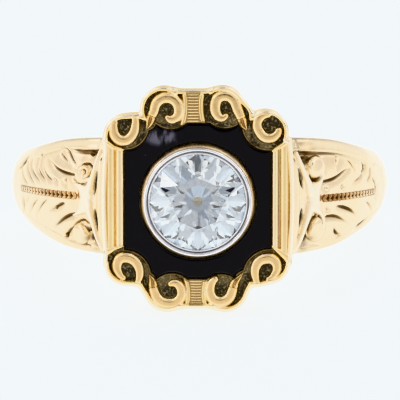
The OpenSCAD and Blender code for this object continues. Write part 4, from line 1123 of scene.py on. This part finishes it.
def turned_ring(name, profile, material):
    """A ring turned round the face's middle from a closed profile of radius and depth."""
    outline = bpy.data.curves.new(name + "_profile", "CURVE")
    outline.dimensions = "3D"
    spline = outline.splines.new("POLY")
    spline.points.add(len(profile) - 1)
    for point, (r, depth) in zip(spline.points, profile):
        point.co = (r, depth, 0, 1)
    spline.use_cyclic_u = True
    pattern = placed(name + "_profile", outline)
    rule = Rule(name, material, Profile=pattern, Segments=RING_SEGMENTS, Radius=1.0)
    g = rule.given
    info = rule.add("GeometryNodeObjectInfo", {"Object": g["Profile"]}).outputs["Geometry"]
    circle = rule.add("GeometryNodeCurvePrimitiveCircle", {
        "Resolution": g["Segments"], "Radius": g["Radius"]})
    moved = rule.add("GeometryNodeSetPosition", {"Geometry": info, "Offset": (-1.0, 0.0, 0.0)}).outputs[0]
    swept = rule.add("GeometryNodeCurveToMesh", {"Curve": circle.outputs[0], "Profile Curve": moved})
    mesh = rule.made(swept.outputs[0])
    bpy.data.objects.remove(pattern)
    x, z, y = vertices(mesh).T
    mesh.vertices.foreach_set("co", laid(np.stack([x, -np.abs(y), z], -1)).ravel())
    return finished(name, mesh, material)


def arc(cx, cy, r, first, last, count):
    """Points along an arc, between two angles in degrees."""
    a = np.radians(np.linspace(first, last, count))
    return list(zip(cx + r * np.cos(a), cy + r * np.sin(a)))


def stone_rim(material):
    """The white rim: a wall that wraps the cone, a round outer bead and a thin inner lip over the stone."""
    low = ENAMEL_D + CONE_TOP + GAP
    foot = ENAMEL_D + RIM_FOOT + GAP
    lip = ENAMEL_D + GIRDLE_H + GIRDLE_T + 2 * GAP
    bead, fine = 0.100, 0.050
    groove = RIM_OUT_R - 2 * bead
    profile = [(STONE_R + GAP, low), (STONE_RIM_R, low), (STONE_RIM_R + GAP, foot), (RIM_OUT_R, foot),
               (RIM_OUT_R, foot + 0.16)]
    profile += arc(RIM_OUT_R - bead, lip + 0.04, bead, -10, 150, 12)
    profile += [(groove - 0.004, lip + 0.025), (groove - 0.016, lip + 0.02)]
    profile += arc(STONE_LIP_R + fine, lip + 0.04, fine, 20, 220, 9)
    profile += [(STONE_R + GAP, lip - 0.02)]
    rim = turned_ring("stone_rim_worked", profile, material)
    middle = laid(face_point(0, 0, 0))
    axis = (laid(face_point(0, 0, 1)) - middle) / MM
    out = (vertices(rim.data) - middle) / MM
    r = np.linalg.norm(out - (out @ axis)[:, None] * axis, axis=1)
    # Shade is painted into the groove behind the bead and under the lip.
    dark = np.exp(-((r - groove + 0.010) / 0.02) ** 2) + (r < STONE_LIP_R + 0.008)
    mark(rim, "painted_shade", np.clip(dark, 0, 1))
    return rim


def cone(gold):
    """The gold cone that rises from the enamel, with the seat for the stone inside."""
    base, top = ENAMEL_D - ENAMEL_T - 0.1, ENAMEL_D + CONE_TOP
    well, seat_r = ((depth - seat_depth()) / math.tan(PAVILION) for depth in (base, top))
    root = ENAMEL_D + RIM_FOOT
    profile = [
        (well, base), (CONE_R + 0.03, base), (CONE_R + 0.03, ENAMEL_D - 0.05), (CONE_R, ENAMEL_D + 0.03),
        (CONE_R - 0.05, ENAMEL_D + 0.14), (RIM_OUT_R + 0.02, root - 0.01), (RIM_OUT_R, root),
        (STONE_RIM_R, root), (STONE_RIM_R - GAP, top - 0.02), (STONE_RIM_R - 0.03, top), (seat_r, top)]
    return turned_ring("cone", profile, gold)


# How much painted dark reflection the facets of the crown carry: the table, then stars, kites and girdle
# facets from the right round
TABLE_SHADE = 0.66
STAR_SHADES = (0.1, 0.0, 0.85, 0.0, 0.1, 0.0, 0.1, 0.0)
KITE_SHADES = (0.0, 0.0, 0.0, 0.5, 0.0, 0.0, 0.1, 0.0)
HALF_SHADES = (0.2, 0.0, 0.0, 0.0, 0.15, 0.0, 0.0, 0.15)
BACK_FACETS = 5    # clear ones at the back, for each star


def stone(material):
    """Old European cut: small table, high crown, open point at the back."""
    n = len(STAR_SHADES)
    star_r = STAR_SHARE * STONE_R + (1 - STAR_SHARE) * TABLE_R
    star_h = CROWN_H * (STONE_R - star_r * math.cos(math.pi / n)) / (STONE_R - TABLE_R)
    lower_r = LOWER_SHARE * STONE_R
    steep = math.tan(PAVILION)
    rings = [
        (TABLE_R, GIRDLE_T + CROWN_H, n, 0), (star_r, GIRDLE_T + star_h, n, 0.5),
        (STONE_R, GIRDLE_T, 2 * n, 0), (STONE_R, 0, 2 * n, 0),
        (lower_r, -(STONE_R - lower_r) * steep * 0.97, n, 0.5),
        (CULET_R, -(STONE_R - CULET_R) * steep, n, 0),
    ]
    points, start = [], []
    for r, h, count, turn in rings:
        start.append(len(points))
        a = (np.arange(count) * 360 / count + turn * 360 / n) * math.pi / 180
        points += face_point(r * np.cos(a), r * np.sin(a), GIRDLE_H + h).tolist()
    table, star, top, low, halves, tip = start
    faces = [[table + i for i in range(n)], [tip + i for i in range(n)]]
    shades = [TABLE_SHADE, 0]
    for i in range(n):
        j, m = (i + 1) % n, (2 * i + 2) % (2 * n)
        faces += [
            [table + i, table + j, star + i],
            [table + j, top + m, star + i], [table + i, star + i, top + 2 * i],
            [star + i, top + 2 * i + 1, top + 2 * i], [star + i, top + m, top + 2 * i + 1],
            [low + 2 * i, low + 2 * i + 1, halves + i], [low + 2 * i + 1, low + m, halves + i],
            [low + 2 * i, halves + i, tip + i], [halves + i, low + m, tip + j],
            [halves + i, tip + j, tip + i],
        ]
        shades += [STAR_SHADES[i], KITE_SHADES[j], KITE_SHADES[i], HALF_SHADES[i], HALF_SHADES[-i]]
        shades += [0] * BACK_FACETS
    for i in range(2 * n):
        j = (i + 1) % (2 * n)
        faces += [[top + i, top + j, low + j, low + i]]
    piece = new_piece("stone", np.array(points), faces, material, smooth=False)
    sorted_faces = bmesh.new()
    sorted_faces.from_mesh(piece.data)
    bmesh.ops.recalc_face_normals(sorted_faces, faces=sorted_faces.faces)
    sorted_faces.to_mesh(piece.data)
    sorted_faces.free()
    mark(piece, "shade", shades + [0] * (2 * n), "FACE")
    return piece


# Studio

CAMERA_RISE, CAMERA_YAW = 5.4, 0.45    # degrees above the face's own direction and to its side
CAMERA_OFF = 0.300
PIXELS, PIXELS_PER_MM, SENSOR_W = 400, 17.94, 36
CENTRE_PIXEL = (199.6, 181.25)    # where the hoop's centre falls in the picture
# Soft lights: place, size, power
LIGHTS = [
    ("light_left", (-0.34, -0.10, 0.16), 0.26, 0.9), ("light_right", (0.34, -0.04, 0.14), 0.20, 0.5),
    ("light_top", (0.0, 0.12, 0.32), 0.40, 2.0),
]
# Dim cards besides the front one: the way they look, distance, radius, tone
DIM_CARDS = [
    ("dim_back", (0, -0.93, -0.37), 0.24, 0.30, (0.66, 0.66, 0.67)),
    ("dim_top", (0, -0.20, -0.98), 0.24, 0.24, (0.68, 0.68, 0.69)),
    ("dim_left", (1, 0, -0.20), 0.30, 0.16, (0.86, 0.86, 0.88)),
    ("dim_right", (-1, 0, -0.20), 0.30, 0.16, (0.86, 0.86, 0.88)),
]
SLOTS = 5                     # dark slots round the front
SLOT_EDGE = 0.45, 0.75        # where a slot's edges lie on a wave that goes round once for each slot
SLOT_DARK, LENS_DARK = (0.16, 0.17, 0.19), (0.03, 0.03, 0.035)
# Tangents of the angles off a card's middle: the lens, where a dim card fades out, where the slots lie
LENS_REACH, FADE_REACH, SLOT_REACH = 0.11, (0.28, 0.90), (0.74, 1.80)
CARD_CORNERS, FLOOR_HALF = 64, 3.0
TENT_GLOW, TENT_POWER = (0.95, 0.98, 1.0), 1.3


def photo_camera():
    """The camera of the photograph: a little above the face's own direction, far off, so nearly flat."""
    rise, yaw = math.radians(CAMERA_RISE), math.radians(CAMERA_YAW)
    right = Vector((math.cos(yaw), math.sin(yaw), 0))
    ahead = Vector((-math.sin(yaw) * math.cos(rise), math.cos(yaw) * math.cos(rise), -math.sin(rise)))
    turn = Matrix.Rotation(-TILT, 3, "X")
    r, f = turn @ right, turn @ ahead
    u = r.cross(f)
    camera = bpy.data.cameras.new("camera")
    camera.sensor_width = SENSOR_W
    camera.lens = SENSOR_W * PIXELS_PER_MM * CAMERA_OFF / MM / PIXELS
    camera.clip_start = 0.01
    thing = placed("camera", camera)
    step = MM / PIXELS_PER_MM
    aside, under = CENTRE_PIXEL[0] - PIXELS / 2, PIXELS / 2 - CENTRE_PIXEL[1]
    place = CENTRE - f * CAMERA_OFF - r * aside * step - u * under * step
    thing.matrix_world = Matrix.Translation(place) @ Matrix((r, u, -f)).transposed().to_4x4()
    bpy.context.scene.camera = thing
    return f


def soft_light(name, place, size, power):
    """A square soft light that looks at the ring."""
    light = bpy.data.lights.new(name, "AREA")
    light.shape = "SQUARE"
    light.size = size
    light.energy = power
    thing = placed(name, light)
    thing.location = place
    thing.rotation_euler = (CENTRE - Vector(place)).to_track_quat("-Z", "Y").to_euler()
    thing.visible_camera = False


def dim_card(name, ahead, distance, radius, shade, with_lens=False):
    """A round card that dims the light tent's glow: the front one has the dark lens in its middle and
    dark slots in its outer part."""
    a = np.linspace(0, 2 * np.pi, CARD_CORNERS, endpoint=False)
    mesh = bpy.data.meshes.new(name)
    points = [(0, 0, 0)] + [(radius * math.cos(t), radius * math.sin(t), 0) for t in a]
    mesh.from_pydata(points, [], [(0, 1 + k, 1 + (k + 1) % CARD_CORNERS) for k in range(CARD_CORNERS)])
    card = placed(name, mesh)
    turn = ahead.to_track_quat("Z", "Y").to_matrix().to_4x4()
    card.matrix_world = Matrix.Translation(CENTRE - ahead * distance) @ turn
    p = Paint(name)
    reach = p.math("DIVIDE", p.length(p.place), distance)
    tone = shade
    edge = p.ranged(reach, FADE_REACH[0], min(FADE_REACH[1], radius / distance))
    if with_lens:
        tone = p.blended(p.ranged(reach, LENS_REACH * 0.85, LENS_REACH * 1.15), LENS_DARK, tone)
        across = p.add("ShaderNodeSeparateXYZ", {0: p.place}).outputs
        wave = p.math("SINE", p.times(p.math("ARCTAN2", across[1], across[0]), float(SLOTS)))
        slots = p.times(p.ranged(wave, *SLOT_EDGE), p.ranged(reach, SLOT_REACH[0], SLOT_REACH[0] * 1.08),
                        p.ranged(reach, SLOT_REACH[1] * 0.92, SLOT_REACH[1], 1, 0))
        tone = p.blended(slots, tone, SLOT_DARK)
        edge = p.times(edge, p.less(1.0, slots))
    glow = p.add("ShaderNodeEmission", {"Color": tone, "Strength": 1.0}).outputs[0]
    clear = p.add("ShaderNodeBsdfTransparent").outputs[0]
    mixed = p.add("ShaderNodeMixShader", {0: edge, 1: glow, 2: clear}).outputs[0]
    p.links.new(mixed, p.nodes["Material Output"].inputs["Surface"])
    mesh.materials.append(p.material)
    card.visible_camera = card.visible_diffuse = card.visible_shadow = False


def studio(ahead):
    """A pale tent with its floor, soft lights and dim cards."""
    world = bpy.data.worlds.new("tent")
    world.use_nodes = True
    back = world.node_tree.nodes["Background"]
    back.inputs["Color"].default_value = (*TENT_GLOW, 1)
    back.inputs["Strength"].default_value = TENT_POWER
    bpy.context.scene.world = world
    mesh = bpy.data.meshes.new("floor")
    corners = ((-1, -1), (1, -1), (1, 1), (-1, 1))
    mesh.from_pydata([(FLOOR_HALF * x, FLOOR_HALF * y, 0) for x, y in corners], [], [(0, 1, 2, 3)])
    floor = placed("floor", mesh)
    mesh.materials.append(floor_paper())
    for name, place, size, power in LIGHTS:
        soft_light(name, place, size, power)
    dim_card("dim_front", ahead, 0.16, 0.30, (0.84, 0.83, 0.84), with_lens=True)
    for name, way, distance, radius, shade in DIM_CARDS:
        dim_card(name, Vector(way).normalized(), distance, radius, shade)


bpy.context.scene.view_settings.view_transform = "Khronos PBR Neutral"
camera_ahead = photo_camera()
gold = chased_gold("chased_gold", GOLD, WARM_GOLD, 0.04)
band_gold = chased_gold("shoulder_gold", PALE_GOLD, CREAM_GOLD, 0.22)
# The stems' dark brown tones are painted shade between and under the grains.
stem_gold = polished_gold("stem_gold", ((0.66, 0.45, 0.26), (0.34, 0.20, 0.10)), (0.15, 0.35), 0.8)
rib_gold = polished_gold("rib_gold", ((0.94, 0.72, 0.38), (0.80, 0.58, 0.30)))
# The cone's darker tones are painted shade beside the rim.
cone_gold = polished_gold("cone_gold", ((0.78, 0.62, 0.42), (0.50, 0.40, 0.29)), (0.22, 0.42), 1.0)
head_piece, window_angles, window_r = head(gold)
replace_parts(head_piece, "gold_mount")
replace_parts(band(band_gold), "gold_mount")
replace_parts(cone(cone_gold), "gold_mount")
for word, shoulder_side in (("left", -1), ("right", 1)):
    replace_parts(stem_grains("stem_grains_" + word, stem_gold, shoulder_side), "gold_mount")
for word, waist in zip(("upper", "lower"), WAISTS):
    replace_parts(waist_ribs("waist_ribs_" + word, rib_gold, waist), "gold_mount")
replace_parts(enamel(black_enamel(), window_angles, window_r), "enamel_panel")
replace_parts(stone_rim(white_metal()), "stone_rim")
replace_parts(stone(old_cut_stone()), "diamond")
studio(camera_ahead)
